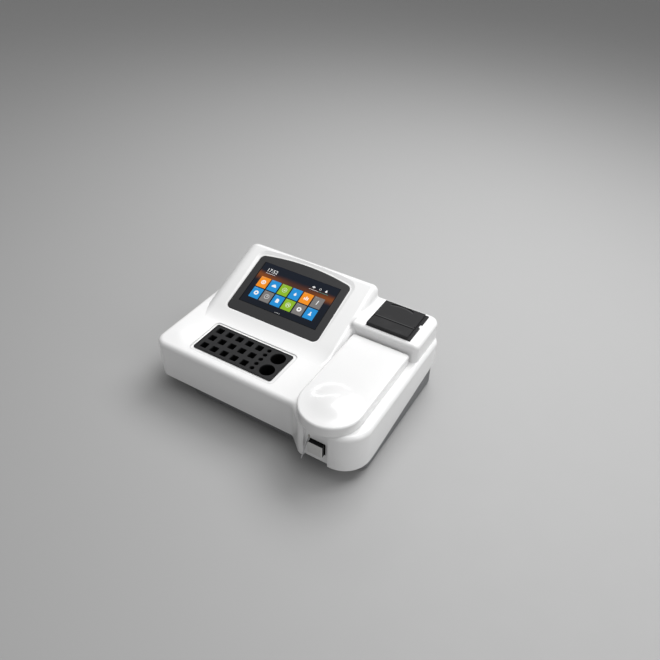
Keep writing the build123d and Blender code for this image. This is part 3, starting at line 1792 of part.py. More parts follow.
def fan_frame():
    """Square frame of the cooling fan, with a hub plate on four spokes."""
    half = fan_size / 2
    front = rear_y - fan_depth
    frame = rounded_upright(fan_centre_x, half, front, rear_y, fan_corner)
    frame -= rod_y(fan_centre_x, front - overrun, rear_y + overrun, port_z, fan_bore_radius)
    frame += rod_y(fan_centre_x, front, front + fan_base, port_z, fan_hub_radius)
    for turn in (0, 90):
        spoke = Box(2 * fan_bore_radius + overrun, fan_base, fan_spoke)
        frame += Pos(fan_centre_x, front + fan_base / 2, port_z) * Rot(0, turn + 45, 0) * spoke
    return frame + rod_y(fan_centre_x, front, front + fan_pin, port_z, filter_shaft_radius)


def rounded_upright(x, half, y0, y1, radius):
    """Square block on the port line with its long edges rounded."""
    block = box(x - half, x + half, y0, y1, port_z - half, port_z + half)
    return fillet(block.edges().filter_by(Axis.Y), radius)


def fan_rotor():
    """Hub and blades of the cooling fan."""
    low = rear_y - fan_depth + fan_base + fan_tip_gap / 2
    high = rear_y - fan_tip_gap
    rotor = rod_y(fan_centre_x, low, high, port_z, fan_hub_radius)
    blade_length = fan_bore_radius - fan_tip_gap - fan_hub_radius / 2
    middle = fan_hub_radius / 2 + blade_length / 2
    for number in range(fan_blades):
        blade = Pos(middle, 0, 0) * Rot(fan_blade_pitch, 0, 0) * Box(blade_length, high - low - fan_blade_thickness, fan_blade_thickness)
        rotor += Pos(fan_centre_x, (low + high) / 2, port_z) * Rot(0, number * 360 / fan_blades, 0) * blade
    return rotor - rod_y(fan_centre_x, low - overrun, rear_y - fan_depth + fan_pin + overrun, port_z, filter_shaft_radius + fit)


def power_supply():
    """Enclosed supply on the base floor, with vent slots in its top."""
    x0 = base_left_x + supply_x
    y1 = rear_y - supply_back
    y0 = y1 - supply_depth
    top = floor_z + supply_height
    supply = box(x0, x0 + supply_length, y0, y1, floor_z, top)
    for number in range(supply_slots):
        x = x0 + (number + 1 / 2) * supply_length / supply_slots
        supply -= box(x - supply_sheet, x + supply_sheet, y0 + boss_setback, y1 - boss_setback, top - supply_sheet, top + overrun)
    return supply


def main_board_posts():
    """Where the main board's standoffs stand."""
    xs = (main_x0 + standoff_inset, main_x0 + main_length - standoff_inset)
    ys = (main_y0 + standoff_inset, main_y0 + main_depth - standoff_inset)
    return [(x, y) for x in xs for y in ys]


def main_board():
    """Main circuit board with its processor and cable headers."""
    low = floor_z + main_standoff
    top = low + board_thickness
    board = box(main_x0, main_x0 + main_length, main_y0, main_y0 + main_depth, low, top)
    middle_x = main_x0 + main_length / 2
    middle_y = main_y0 + main_depth / 2
    board += box(middle_x - chip_size / 2, middle_x + chip_size / 2, middle_y - chip_size / 2, middle_y + chip_size / 2, top, top + chip_height)
    for y in (main_y0 + boss_setback, main_y0 + main_depth - boss_setback - header_width):
        board += box(middle_x - header_length / 2, middle_x + header_length / 2, y, y + header_width, top, top + header_height)
    return board


os.makedirs("parts", exist_ok=True)

pieces = {
    "upper_shell": upper_shell,
    "lower_base": lower_base,
    "rubber_feet": rubber_feet,
    "base_screws": base_screws,
    "screen_bezel": screen_bezel,
    "touch_glass": touch_glass,
    "display_panel": display_panel,
    "display_bracket": display_bracket,
    "incubator_block": incubator_block,
    "block_rim": block_rim,
    "heater_pad": heater_pad,
    "compartment_lid": compartment_lid,
    "lid_liner": lid_liner,
    "lid_hinge_brackets": lid_hinge_brackets,
    "lid_hinge_pin": lid_hinge_pin,
    "compartment_tray": compartment_tray,
    "pump_housing": pump_housing,
    "pump_rotor": pump_rotor,
    "pump_motor": pump_motor,
    "pump_tube": pump_tube,
    "sipper_tube": sipper_tube,
    "flow_cell_holder": flow_cell_holder,
    "flow_cell": flow_cell,
    "detector_board": detector_board,
    "lens_tube": lens_tube,
    "filter_wheel": filter_wheel,
    "optical_filters": optical_filters,
    "optics_bracket": optics_bracket,
    "filter_motor": filter_motor,
    "lamp_housing": lamp_housing,
    "halogen_lamp": halogen_lamp,
    "sipper_probe": sipper_probe,
    "probe_ferrule": probe_ferrule,
    "key_guide": key_guide,
    "sample_key": sample_key,
    "key_cap": key_cap,
    "key_switch": key_switch,
    "printer_frame": printer_frame,
    "printer_door": printer_door,
    "door_hinge_pin": door_hinge_pin,
    "platen_roller": platen_roller,
    "platen_shaft": platen_shaft,
    "drive_gear": drive_gear,
    "feed_motor": feed_motor,
    "print_head": print_head,
    "paper_roll": paper_roll,
    "rear_panel": rear_panel,
    "panel_screws": panel_screws,
    "power_inlet": power_inlet,
    "switch_body": switch_body,
    "switch_rocker": switch_rocker,
    "waste_fitting": waste_fitting,
    "port_board": port_board,
    "fan_frame": fan_frame,
    "fan_rotor": fan_rotor,
    "power_supply": power_supply,
    "main_board": main_board,
}
for node, make in pieces.items():
    save(node, make())
for number in range(rollers):
    save(f"pump_roller_{number + 1}", pump_roller(number))
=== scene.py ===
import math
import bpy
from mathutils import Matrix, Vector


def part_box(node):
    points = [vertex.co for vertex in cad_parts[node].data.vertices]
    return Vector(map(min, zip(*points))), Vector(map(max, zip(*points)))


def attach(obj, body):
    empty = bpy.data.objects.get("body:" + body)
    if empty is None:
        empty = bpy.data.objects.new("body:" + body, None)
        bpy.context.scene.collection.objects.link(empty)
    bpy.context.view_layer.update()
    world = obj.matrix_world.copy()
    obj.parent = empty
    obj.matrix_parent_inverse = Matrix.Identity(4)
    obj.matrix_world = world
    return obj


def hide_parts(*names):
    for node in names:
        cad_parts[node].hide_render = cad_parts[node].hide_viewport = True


bl_info = {
    "name": "Chemistry analyzer finishes",
    "version": (1, 0, 0),
    "blender": (4, 5, 0),
    "location": "3D View > Sidebar > Analyzer",
    "description": "Dresses the bench chemistry analyzer with its finishes, its lit screen and a soft studio",
    "category": "Object",
}

import bmesh
import bpy
from bpy.props import FloatProperty, FloatVectorProperty, PointerProperty
from mathutils import Matrix, Vector

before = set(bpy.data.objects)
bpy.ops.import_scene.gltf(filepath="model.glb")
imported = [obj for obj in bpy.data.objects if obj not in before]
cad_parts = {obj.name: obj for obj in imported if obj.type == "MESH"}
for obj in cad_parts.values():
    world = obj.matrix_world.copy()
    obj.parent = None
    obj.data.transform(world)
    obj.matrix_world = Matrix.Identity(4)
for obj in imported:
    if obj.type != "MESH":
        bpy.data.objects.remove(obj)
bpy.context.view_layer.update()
MM = 0.001
X_AXIS, Y_AXIS, Z_AXIS = (1, 0, 0), (0, 1, 0), (0, 0, 1)
FULL_TURN = 2 * math.pi

# How the grain of drawn metal is stretched: its lines run along the axis whose factor is small.
ALONG_X, ALONG_Y, ALONG_Z = (0.05, 1, 1), (1, 0.05, 1), (1, 1, 0.05)
NO_DIRECTION = (1, 1, 1)


def tone(red, green, blue):
    """Linear colour of a screen colour from 0 to 255, by the sRGB curve."""

    def channel(level):
        level /= 255
        return level / 12.92 if level <= 0.04045 else ((level + 0.055) / 1.055) ** 2.4

    return tuple(channel(level) for level in (red, green, blue))


def colour_setting(name, description, shade):
    """One colour."""
    settings = {"subtype": "COLOR", "size": 3, "min": 0, "max": 1}
    return FloatVectorProperty(name=name, description=description, default=shade, **settings)


def length_setting(name, description, size):
    """One length in metres."""
    return FloatProperty(name=name, description=description, unit="LENGTH", min=0, precision=5, default=size)


def share_setting(name, description, share):
    """One number from 0 to 1."""
    return FloatProperty(name=name, description=description, subtype="FACTOR", min=0, max=1, default=share)


def power_setting(name, description, power):
    """The power in watts of one lamp."""
    return FloatProperty(name=name, description=description, unit="POWER", min=0, default=power)


def angle_setting(name, description, degrees):
    """One angle, given here in degrees."""
    return FloatProperty(name=name, description=description, subtype="ANGLE", default=math.radians(degrees))


class AnalyzerHousing(bpy.types.PropertyGroup):
    """Colours and grain of the mouldings"""

    shell: colour_setting("Shell", "White of the moulded body", tone(239, 239, 239))
    lid: colour_setting("Lid", "White of the compartment lid", tone(230, 230, 230))
    base: colour_setting("Base", "Grey of the base pan", tone(118, 119, 121))
    charcoal: colour_setting("Charcoal", "Bezel, printer and its door", tone(54, 54, 55))
    black: colour_setting("Black", "Sockets, key body and rims", tone(14, 14, 15))
    key: colour_setting("Key", "Light grey front of the sample key", tone(206, 206, 204))
    feet: colour_setting("Feet", "Rubber feet", tone(24, 24, 24))
    gloss: share_setting("Shell roughness", "Roughness of the white mouldings", 0.24)
    grain: length_setting("Moulding grain", "Size of the grain on the dark plastics", 0.0004)


class AnalyzerScreen(bpy.types.PropertyGroup):
    """Colours and tile sizes of the start screen"""

    backdrop: colour_setting("Backdrop", "Deep blue of the idle screen", tone(14, 24, 40))
    glow: colour_setting("Glow", "Warm band behind the tiles", tone(150, 78, 22))
    orange: colour_setting("Orange", "Orange tiles", tone(243, 146, 32))
    blue: colour_setting("Blue", "Blue tiles", tone(33, 144, 214))
    green: colour_setting("Green", "Green tiles", tone(141, 184, 40))
    grey: colour_setting("Grey", "Grey tiles", tone(124, 121, 120))
    ink: colour_setting("Ink", "Signs, clock and dots", tone(245, 245, 245))
    teal: colour_setting("Teal", "Right half of the line under the signs", tone(60, 170, 160))
    tile_width: length_setting("Tile width", "Width of one tile", 0.0196)
    tile_height: length_setting("Tile height", "Height of one tile", 0.0221)
    column: length_setting("Column pitch", "Spacing of the tiles across", 0.02222)
    row: length_setting("Row pitch", "Spacing of the two rows", 0.0242)
    brightness: share_setting("Brightness", "How strongly the screen is lit", 0.68)


class AnalyzerStage(bpy.types.PropertyGroup):
    """Floor, lights and camera"""

    floor: colour_setting("Floor", "Pale studio floor", tone(173, 173, 173))
    surround: colour_setting("Surround", "Light that comes from all round", tone(226, 226, 226))
    surround_level: FloatProperty(
        name="Surround level", description="Strength of the light from all round", min=0, default=0.415
    )
    back_power: power_setting("Back", "Power of the softbox above the back", 19)
    side_power: power_setting("Side", "Power of the softbox on the right", 6)
    top_power: power_setting("Top", "Power of the softbox overhead", 8.5)
    strip_power: power_setting("Strip", "Power of the narrow softbox behind on the left", 1.6)
    azimuth: angle_setting("Azimuth", "Camera angle round the object", 30.48)
    elevation: angle_setting("Elevation", "Camera angle above the floor", 39.59)
    roll: angle_setting("Roll", "Camera turn about its view", 1.2)
    lens: FloatProperty(name="Lens", description="Focal length", unit="CAMERA", min=1, default=35)


class Signal:
    """One output socket that takes part in Python sums, each of which adds a Math node."""

    def __init__(self, finish, socket):
        self.finish = finish
        self.socket = socket

    def __add__(self, other):
        return self.finish.math("ADD", self, other)

    __radd__ = __add__

    def __sub__(self, other):
        return self.finish.math("SUBTRACT", self, other)

    def __rsub__(self, other):
        return self.finish.math("SUBTRACT", other, self)

    def __mul__(self, other):
        return self.finish.math("MULTIPLY", self, other)

    __rmul__ = __mul__

    def __truediv__(self, other):
        return self.finish.math("DIVIDE", self, other)

    def __rtruediv__(self, other):
        return self.finish.math("DIVIDE", other, self)


class Finish:
    """A procedural material. Every node in it comes from add."""

    SHARE, FIRST, SECOND, RESULT = 0, 6, 7, 2  # The colour sockets of a Mix node.

    def __init__(self, name):
        self.material = bpy.data.materials.new(name)
        self.material.use_nodes = True
        self.tree = self.material.node_tree
        self.tree.nodes.clear()
        self.place = self.add("ShaderNodeTexCoord", out="Object")

    def add(self, kind, settings=None, sockets=None, out=0):
        """A node with its settings, then its sockets set or linked. Returns its output as a Signal."""
        node = self.tree.nodes.new(kind)
        for name, value in (settings or {}).items():
            if name == "stops":
                self.set_stops(node.color_ramp, value)
            else:
                setattr(node, name, value)
        for name, value in (sockets or {}).items():
            socket = node.inputs[name]
            if isinstance(value, Signal):
                self.tree.links.new(value.socket, socket)
            elif socket.type == "RGBA" and len(value) == 3:
                socket.default_value = (*value, 1)
            else:
                socket.default_value = value
        return Signal(self, node.outputs[out]) if len(node.outputs) else None

    def set_stops(self, ramp, stops):
        """Colours along a ramp, from a list of place and colour."""
        while len(ramp.elements) < len(stops):
            ramp.elements.new(1)
        for element, (position, shade) in zip(ramp.elements, stops):
            element.position = position
            element.color = (*shade, 1)

    def math(self, operation, *terms):
        """One Math node."""
        return self.add("ShaderNodeMath", {"operation": operation}, dict(enumerate(terms)))

    def vector(self, operation, *terms, out=0):
        """One Vector Math node."""
        return self.add("ShaderNodeVectorMath", {"operation": operation}, dict(enumerate(terms)), out)

    def scaled(self, x, y, z):
        """The place, stretched so that a texture is drawn out along an axis."""
        return self.vector("MULTIPLY", self.place, (x, y, z))

    def along(self, direction, origin):
        """Distance in metres from an origin along a direction."""
        offset = self.vector("SUBTRACT", self.place, tuple(origin))
        return self.vector("DOT_PRODUCT", offset, tuple(direction), out="Value")

    def away(self, direction, origin):
        """Distance in metres from an origin along a direction, the same on both sides."""
        return self.math("ABSOLUTE", self.along(direction, origin))

    def near(self, distance, inner, outer):
        """1 where a distance is under inner on either side, and 0 beyond outer."""
        return 1 - self.fade(self.math("ABSOLUTE", distance), inner, outer)

    def length(self, across, back):
        """Length of an offset in a plane."""
        return self.math("SQRT", across * across + back * back)

    def noise(self, size, detail=2, place=None):
        """Soft noise whose patches are about size metres across."""
        sockets = {"Vector": place or self.place, "Scale": 1 / size, "Detail": detail}
        return self.add("ShaderNodeTexNoise", {}, sockets, "Fac")

    def fade(self, value, low, high):
        """0 where value is low and 1 where it is high, with a soft step between."""
        sockets = {"Value": value, "From Min": low, "From Max": high}
        return self.add("ShaderNodeMapRange", {"interpolation_type": "SMOOTHSTEP"}, sockets)

    def mix(self, share, first, second):
        """One colour laid over another by a share."""
        sockets = {self.SHARE: share, self.FIRST: first, self.SECOND: second}
        return self.add("ShaderNodeMix", {"data_type": "RGBA"}, sockets, self.RESULT)

    def dent(self, height, depth):
        """Bump of a height that goes from 0 to 1, depth metres deep."""
        return self.add("ShaderNodeBump", {}, {"Height": height, "Distance": depth, "Strength": 1.0}, "Normal")

    def surface(self, **sockets):
        """The shader and the output. Underscores in a socket's name stand for spaces."""
        named = {name.replace("_", " "): value for name, value in sockets.items()}
        shader = self.add("ShaderNodeBsdfPrincipled", {}, named)
        self.add("ShaderNodeOutputMaterial", {}, {"Surface": shader})
        return self.material


def darker(shade, share):
    """A share of a colour."""
    return tuple(level * share for level in shade)


def paler(shade, share, lift):
    """A colour times a share over 1, and lifted a little."""
    return tuple(min(1, level * share + lift) for level in shade)


def gloss_moulding(name, shade, roughness, crease_shade=None):
    """Gloss plastic with faint clouds, smudges and a slight orange peel. Where a shade mask is given, painted shade
    darkens the colour there.
    """
    finish = Finish(name)
    cloud = finish.noise(110 * MM, 3)
    smudge = finish.noise(35 * MM, 4)
    peel = finish.noise(2.2 * MM, 1)
    height = finish.fade(finish.along(Z_AXIS, (0, 0, 20 * MM)), 0.0, 50 * MM)
    colour = finish.mix(cloud, darker(shade, 0.975), shade)
    # Darker towards the bottom, from 70 mm down to 20 mm.
    colour = finish.mix(height, darker(shade, 0.94), colour)
    if crease_shade:
        # Painted shade where the mask lies, mixed towards 0.4 of the colour.
        colour = finish.mix(crease_shade(finish), colour, darker(shade, 0.4))
    return finish.surface(
        Base_Color=colour,
        Roughness=roughness + 0.09 * (smudge - 0.5),
        Coat_Weight=0.35,
        Coat_Roughness=0.08,
        Normal=finish.dent(peel, 0.006 * MM),
    )


def grained_moulding(name, shade, roughness, grain, depth=0.04 * MM, sheen=0.22, lines=None):
    """Spark-textured plastic, paler where it is rubbed. A lines mask, if given, paints dark shade over seams and
    pale highlights on the edges beside them.
    """
    finish = Finish(name)
    pits = finish.noise(grain, 2)
    rubbed = finish.fade(finish.noise(30 * MM, 4), 0.45, 0.75)
    colour = finish.mix(rubbed * 0.35, shade, paler(shade, 1.25, 0.004))
    colour = finish.mix(pits * 0.25, colour, darker(shade, 0.6))
    if lines:
        groove_shade, edge = lines(finish)
        # Painted highlight on the pale edges, then painted shade over the seams.
        colour = finish.mix(edge, colour, paler(shade, 2.6, 0.012))
        colour = finish.mix(groove_shade, colour, darker(shade, 0.12))
    return finish.surface(
        Base_Color=colour,
        Roughness=roughness + 0.12 * (0.5 - rubbed) + 0.1 * (pits - 0.5),
        Specular_IOR_Level=sheen,
        Normal=finish.dent(pits, depth),
    )


def drawn_metal(name, shade, roughness, stretch):
    """Metal with fine lines along one direction and cloudy tarnish."""
    finish = Finish(name)
    lines = finish.noise(0.4 * MM, 3, finish.scaled(*stretch))
    cloud = finish.noise(20 * MM, 4)
    colour = finish.mix(lines, darker(shade, 0.8), shade)
    colour = finish.mix(0.3 * cloud, colour, darker(shade, 0.7))
    return finish.surface(
        Base_Color=colour,
        Metallic=1.0,
        Roughness=roughness + 0.15 * (lines - 0.5) + 0.1 * (cloud - 0.5),
        Normal=finish.dent(lines, 0.008 * MM),
    )


def soft_rubber(name, shade):
    """Matt rubber with dust in its pores."""
    finish = Finish(name)
    pores = finish.noise(0.7 * MM, 3)
    dust = finish.fade(finish.noise(12 * MM, 4), 0.5, 0.8)
    colour = finish.mix(dust * 0.25, shade, tone(110, 108, 104))
    return finish.surface(Base_Color=colour, Roughness=0.72 + 0.15 * pores, Normal=finish.dent(pores, 0.06 * MM))


def clear_moulding(name, shade, roughness, clearness):
    """See-through plastic or glass with faint flow lines."""
    finish = Finish(name)
    flow = finish.noise(4 * MM, 2, finish.scaled(1, 0.3, 1))
    return finish.surface(
        Base_Color=finish.mix(flow, darker(shade, 0.92), shade),
        Roughness=roughness + 0.06 * flow,
        Transmission_Weight=clearness,
        IOR=1.45,
    )


def wound_paper(name, centre):
    """Thermal paper roll whose ends show the edges of the turns."""
    finish = Finish(name)
    offset = finish.vector("SUBTRACT", finish.scaled(0, 1, 1), centre)
    radius = finish.vector("LENGTH", offset, out="Value")
    turns = finish.math("SINE", radius * 9000)  # One turn of paper in 0.7 mm.
    fibre = finish.noise(0.6 * MM, 4)
    colour = finish.mix(0.5 + 0.5 * turns, tone(232, 230, 224), tone(246, 245, 241))
    return finish.surface(
        Base_Color=finish.mix(fibre * 0.2, colour, tone(214, 211, 203)),
        Roughness=0.75 + 0.1 * fibre,
        Normal=finish.dent(0.5 + 0.5 * turns, 0.03 * MM),
    )


def printed_board(name):
    """Green circuit board with copper tracks under the mask and tinned pads."""
    finish = Finish(name)
    edges = {"feature": "DISTANCE_TO_EDGE"}
    cells = finish.add("ShaderNodeTexVoronoi", edges, {"Vector": finish.place, "Scale": 190.0}, "Distance")
    track = finish.fade(cells, 0.06, 0.03)
    spots = {"Vector": finish.place, "Scale": 380.0, "Randomness": 0.35}
    dots = finish.add("ShaderNodeTexVoronoi", {"feature": "F1"}, spots, "Distance")
    pad = finish.fade(dots, 0.16, 0.12)
    colour = finish.mix(track, tone(18, 84, 48), tone(32, 120, 66))
    colour = finish.mix(pad, colour, tone(190, 188, 178))
    return finish.surface(
        Base_Color=colour,
        Metallic=pad * 0.9,
        Roughness=0.42 - 0.12 * pad,
        Normal=finish.dent(track + pad, 0.03 * MM),
    )


def dress(nodes, material):
    """Gives carried-over CAD nodes their material, in every slot they have."""
    for node in nodes.split():
        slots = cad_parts[node].data.materials
        if not len(slots):
            slots.append(material)
        for index in range(len(slots)):
            slots[index] = material


def placed(name, data):
    """A new object in the scene."""
    item = bpy.data.objects.new(name, data)
    bpy.context.scene.collection.objects.link(item)
    return item


class Piece:
    """Collects the faces of one piece, then hands it to a CAD body."""

    def __init__(self, name):
        self.name = name
        self.mesh = bmesh.new()

    def ring(self, points):
        """New points of the mesh, in order."""
        return [self.mesh.verts.new(point) for point in points]

    def skin(self, rings, slot=0):
        """Quads between closed rings of as many points each."""
        for first, second in zip(rings, rings[1:]):
            for index in range(len(first)):
                after = (index + 1) % len(first)
                face = self.mesh.faces.new((first[index], first[after], second[after], second[index]))
                face.material_index = slot

    def cap(self, ring, slot=0):
        """One face that closes a ring."""
        self.mesh.faces.new(ring).material_index = slot

    def plate(self, outline, place, low, high, slot=0, hole=None):
        """Flat piece on an outline, from low to high, open inside a hole of as many points."""

        def loop(points, lift):
            return self.ring([place(u, v, lift) for u, v in points])

        under, over = loop(outline, low), loop(outline, high)
        if hole:
            self.skin([under, over, loop(hole, high), loop(hole, low), under], slot)
        else:
            self.skin([under, over], slot)
            self.cap(over, slot)
            self.cap(under[::-1], slot)

    def made(self, materials):
        """The piece's object."""
        bmesh.ops.recalc_face_normals(self.mesh, faces=self.mesh.faces)
        data = bpy.data.meshes.new(self.name)
        self.mesh.to_mesh(data)
        self.mesh.free()
        for material in materials:
            data.materials.append(material)
        return placed(self.name, data)

    def finish(self, body, slot_name, materials, replaces=()):
        """The piece's object, riding on its body."""
        piece = self.made(materials)
        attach(piece, body)
        if replaces:
            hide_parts(*replaces)


def islands(node):
    """Lowest and highest corner of each loose solid in a CAD node."""
    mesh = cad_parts[node].data
    keys = [tuple(round(level, 6) for level in vertex.co) for vertex in mesh.vertices]  # To a micrometre.
    parent = {key: key for key in keys}

    def top(key):
        """The one point that stands for the whole solid of a point."""
        while parent[key] != key:
            parent[key] = parent[parent[key]]
            key = parent[key]
        return key

    for polygon in mesh.polygons:
        first, *others = polygon.vertices
        for other in others:
            parent[top(keys[other])] = top(keys[first])
    groups = {}
    for key in parent:
        groups.setdefault(top(key), []).append(key)
    boxes = []
    for points in groups.values():
        levels = list(zip(*points))
        boxes.append((Vector([min(axis) for axis in levels]), Vector([max(axis) for axis in levels])))
    return sorted(boxes, key=lambda box: tuple(box[0]))


def rounded(width, height, radius, centre=(0, 0), steps=5):
    """Outline of a rectangle with rounded corners."""
    points = []
    for turn, (side_x, side_y) in enumerate(((1, 1), (-1, 1), (-1, -1), (1, -1))):
        for step in range(steps + 1):
            angle = math.pi / 2 * (turn + step / steps)
            u = side_x * (width / 2 - radius) + radius * math.cos(angle)
            v = side_y * (height / 2 - radius) + radius * math.sin(angle)
            points.append((centre[0] + u, centre[1] + v))
    return points


def circle(radius, centre=(0, 0), count=32):
    """Outline of a circle."""
    angles = [FULL_TURN * index / count for index in range(count)]
    return [(centre[0] + radius * math.cos(angle), centre[1] + radius * math.sin(angle)) for angle in angles]


# The display, in millimetres on the glass. Places are measured from the middle of its lower edge.
SCREEN_TILT_DEGREES = 20.7
GLASS_MARGIN = 1.6
TILE_MIDDLE_X, UPPER_ROW_HEIGHT = -1.6, 47.3
TILE_SHADES = ("orange", "blue", "green", "grey")
TILE_ROWS = ((0, 1, 2, 1, 0, 3), (1, 3, 1, 2, 3, 1))
TILE_CORNER = 0.3
SIGN_RISE = 0.4
CAPTION_LEFT, CAPTION_RISE, CAPTION_STROKE, CAPTION_GAP = 8.4, 9.4, 0.5, 0.8
CAPTION_LENGTHS = ((2.6, 3.4), (3.8,), (1.8, 2.8), (4.4,), (2.2, 2.0), (3.2, 1.8))
PAGE_DOT_HEIGHT, PAGE_DOT_RADIUS = 1.9, 0.55
PAGE_DOTS = (-3.7, -0.9, 1.9, 4.7)
STATUS_HEIGHT, STATUS_LINE_HEIGHT, STATUS_LINE_LENGTH = 73.4, 67.9, 19.0
CLOCK_X, CLOCK_HEIGHT, CLOCK_SIZE = -54.8, 70.8, 10.2

GEAR_POINTS, GEAR_ROOT, GEAR_TIP = 40, 4.1, 4.7
RING_OUTER, RING_INNER = 4.6, 4.0
CLOUD_LOBES = ((-2.2, -0.6, 2.0), (0.4, 0.6, 2.8), (2.9, -0.8, 1.8))
CLOUD_POINTS, CLOUD_FOOT = 48, -2.4
TICK = ((-2.2, 0.2), (-1.5, 0.9), (-0.5, -0.2), (1.8, 1.9), (2.4, 1.2), (-0.5, -1.6))
TUBE = ((-0.9, -4.6), (0.4, -4.6), (1.5, 4.2), (-0.1, 4.4))
PAGE = ((-3.0, -4.0), (3.0, -4.0), (3.0, 2.0), (1.0, 4.0), (-3.0, 4.0))
FLASK = ((-3.2, -3.6), (3.2, -3.6), (1.2, 0.6), (1.2, 3.0), (1.9, 3.6), (-1.9, 3.6), (-1.2, 3.0), (-1.2, 0.6))

# The signs along the rows, each with what its drawing takes.
SIGNS = (
    ("gear", 2.6, 1.5), ("cloud",), ("tick",), ("drop", 2.4, -1.0), ("columns",), ("shape", TUBE),
    ("gear", 1.7), ("dial",), ("shape", PAGE), ("rack",), ("gear", 1.9), ("shape", FLASK),
)


class ScreenPlane:
    """Measures on the face of the glass, in metres from the middle of its lower edge."""

    def __init__(self):
        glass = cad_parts["touch_glass"].data
        low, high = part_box("touch_glass")
        tilt = math.radians(SCREEN_TILT_DEGREES)
        self.across = Vector(X_AXIS)
        self.upward = Vector((0, math.cos(tilt), math.sin(tilt)))
        self.outward = Vector((0, -math.sin(tilt), math.cos(tilt)))
        rises = [vertex.co.dot(self.upward) for vertex in glass.vertices]
        face = max(vertex.co.dot(self.outward) for vertex in glass.vertices)
        middle = (low.x + high.x) / 2
        foot = min(rises) + GLASS_MARGIN * MM
        self.origin = self.across * middle + self.upward * foot + self.outward * face

    def place(self, u, v, lift):
        """A point u across the glass, v up it and lift above it."""
        return self.origin + self.across * u + self.upward * v + self.outward * lift


def lit(name, shade, brightness):
    """One colour of the lit display, with a fine pixel grid in it."""
    finish = Finish(name)
    grid = finish.noise(0.3 * MM, 0)
    colour = finish.mix(grid, darker(shade, 0.94), shade)
    return finish.surface(
        Base_Color=finish.mix(grid, darker(shade, 0.3), darker(shade, 0.35)),
        Roughness=0.22,
        Specular_IOR_Level=0.25,
        Coat_Weight=0.2,
        Coat_Roughness=0.04,
        Emission_Color=colour,
        Emission_Strength=brightness,
    )


class ANALYZER_OT_housing(bpy.types.Operator):
    """Finish the white shell, the lid, the base pan and the feet"""

    bl_idname = "analyzer.housing"
    bl_label = "Housing"

    def execute(self, context):
        look = context.scene.analyzer_housing
        dress("upper_shell", gloss_moulding("white shell", look.shell, look.gloss, self.pocket_shade))
        dress("compartment_lid", gloss_moulding("white lid", look.lid, look.gloss * 0.8))
        dress("lid_liner", grained_moulding("lid liner", tone(150, 151, 152), 0.5, 0.6 * MM))
        dress("lid_hinge_brackets", grained_moulding("hinge lugs", look.charcoal, 0.5, look.grain))
        dress("lower_base", grained_moulding("base pan", look.base, 0.48, 0.7 * MM, 0.05 * MM))
        dress("rubber_feet", soft_rubber("foot rubber", look.feet))
        dress("compartment_tray", grained_moulding("compartment tray", tone(150, 152, 154), 0.45, 0.6 * MM))
        return {"FINISHED"}

    def pocket_shade(self, finish):
        """Painted shade: a soft dark line on the wall of the incubator's recess, so that its edge reads from a step
        away.
        """
        low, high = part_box("block_rim")
        middle, half = (low + high) / 2, (high - low) / 2
        margin, radius = 5.5 * MM, 8.0 * MM
        straight = margin - radius
        over_x = finish.math("MAXIMUM", finish.away(X_AXIS, middle) - (half.x + straight), 0)
        over_y = finish.math("MAXIMUM", finish.away(Y_AXIS, middle) - (half.y + straight), 0)
        wall = finish.length(over_x, over_y) - radius
        top = finish.fade(finish.along(Z_AXIS, (0, 0, high.z)), -6 * MM, -4 * MM)
        return finish.near(wall, 0.3 * MM, 2.2 * MM) * top * 0.3


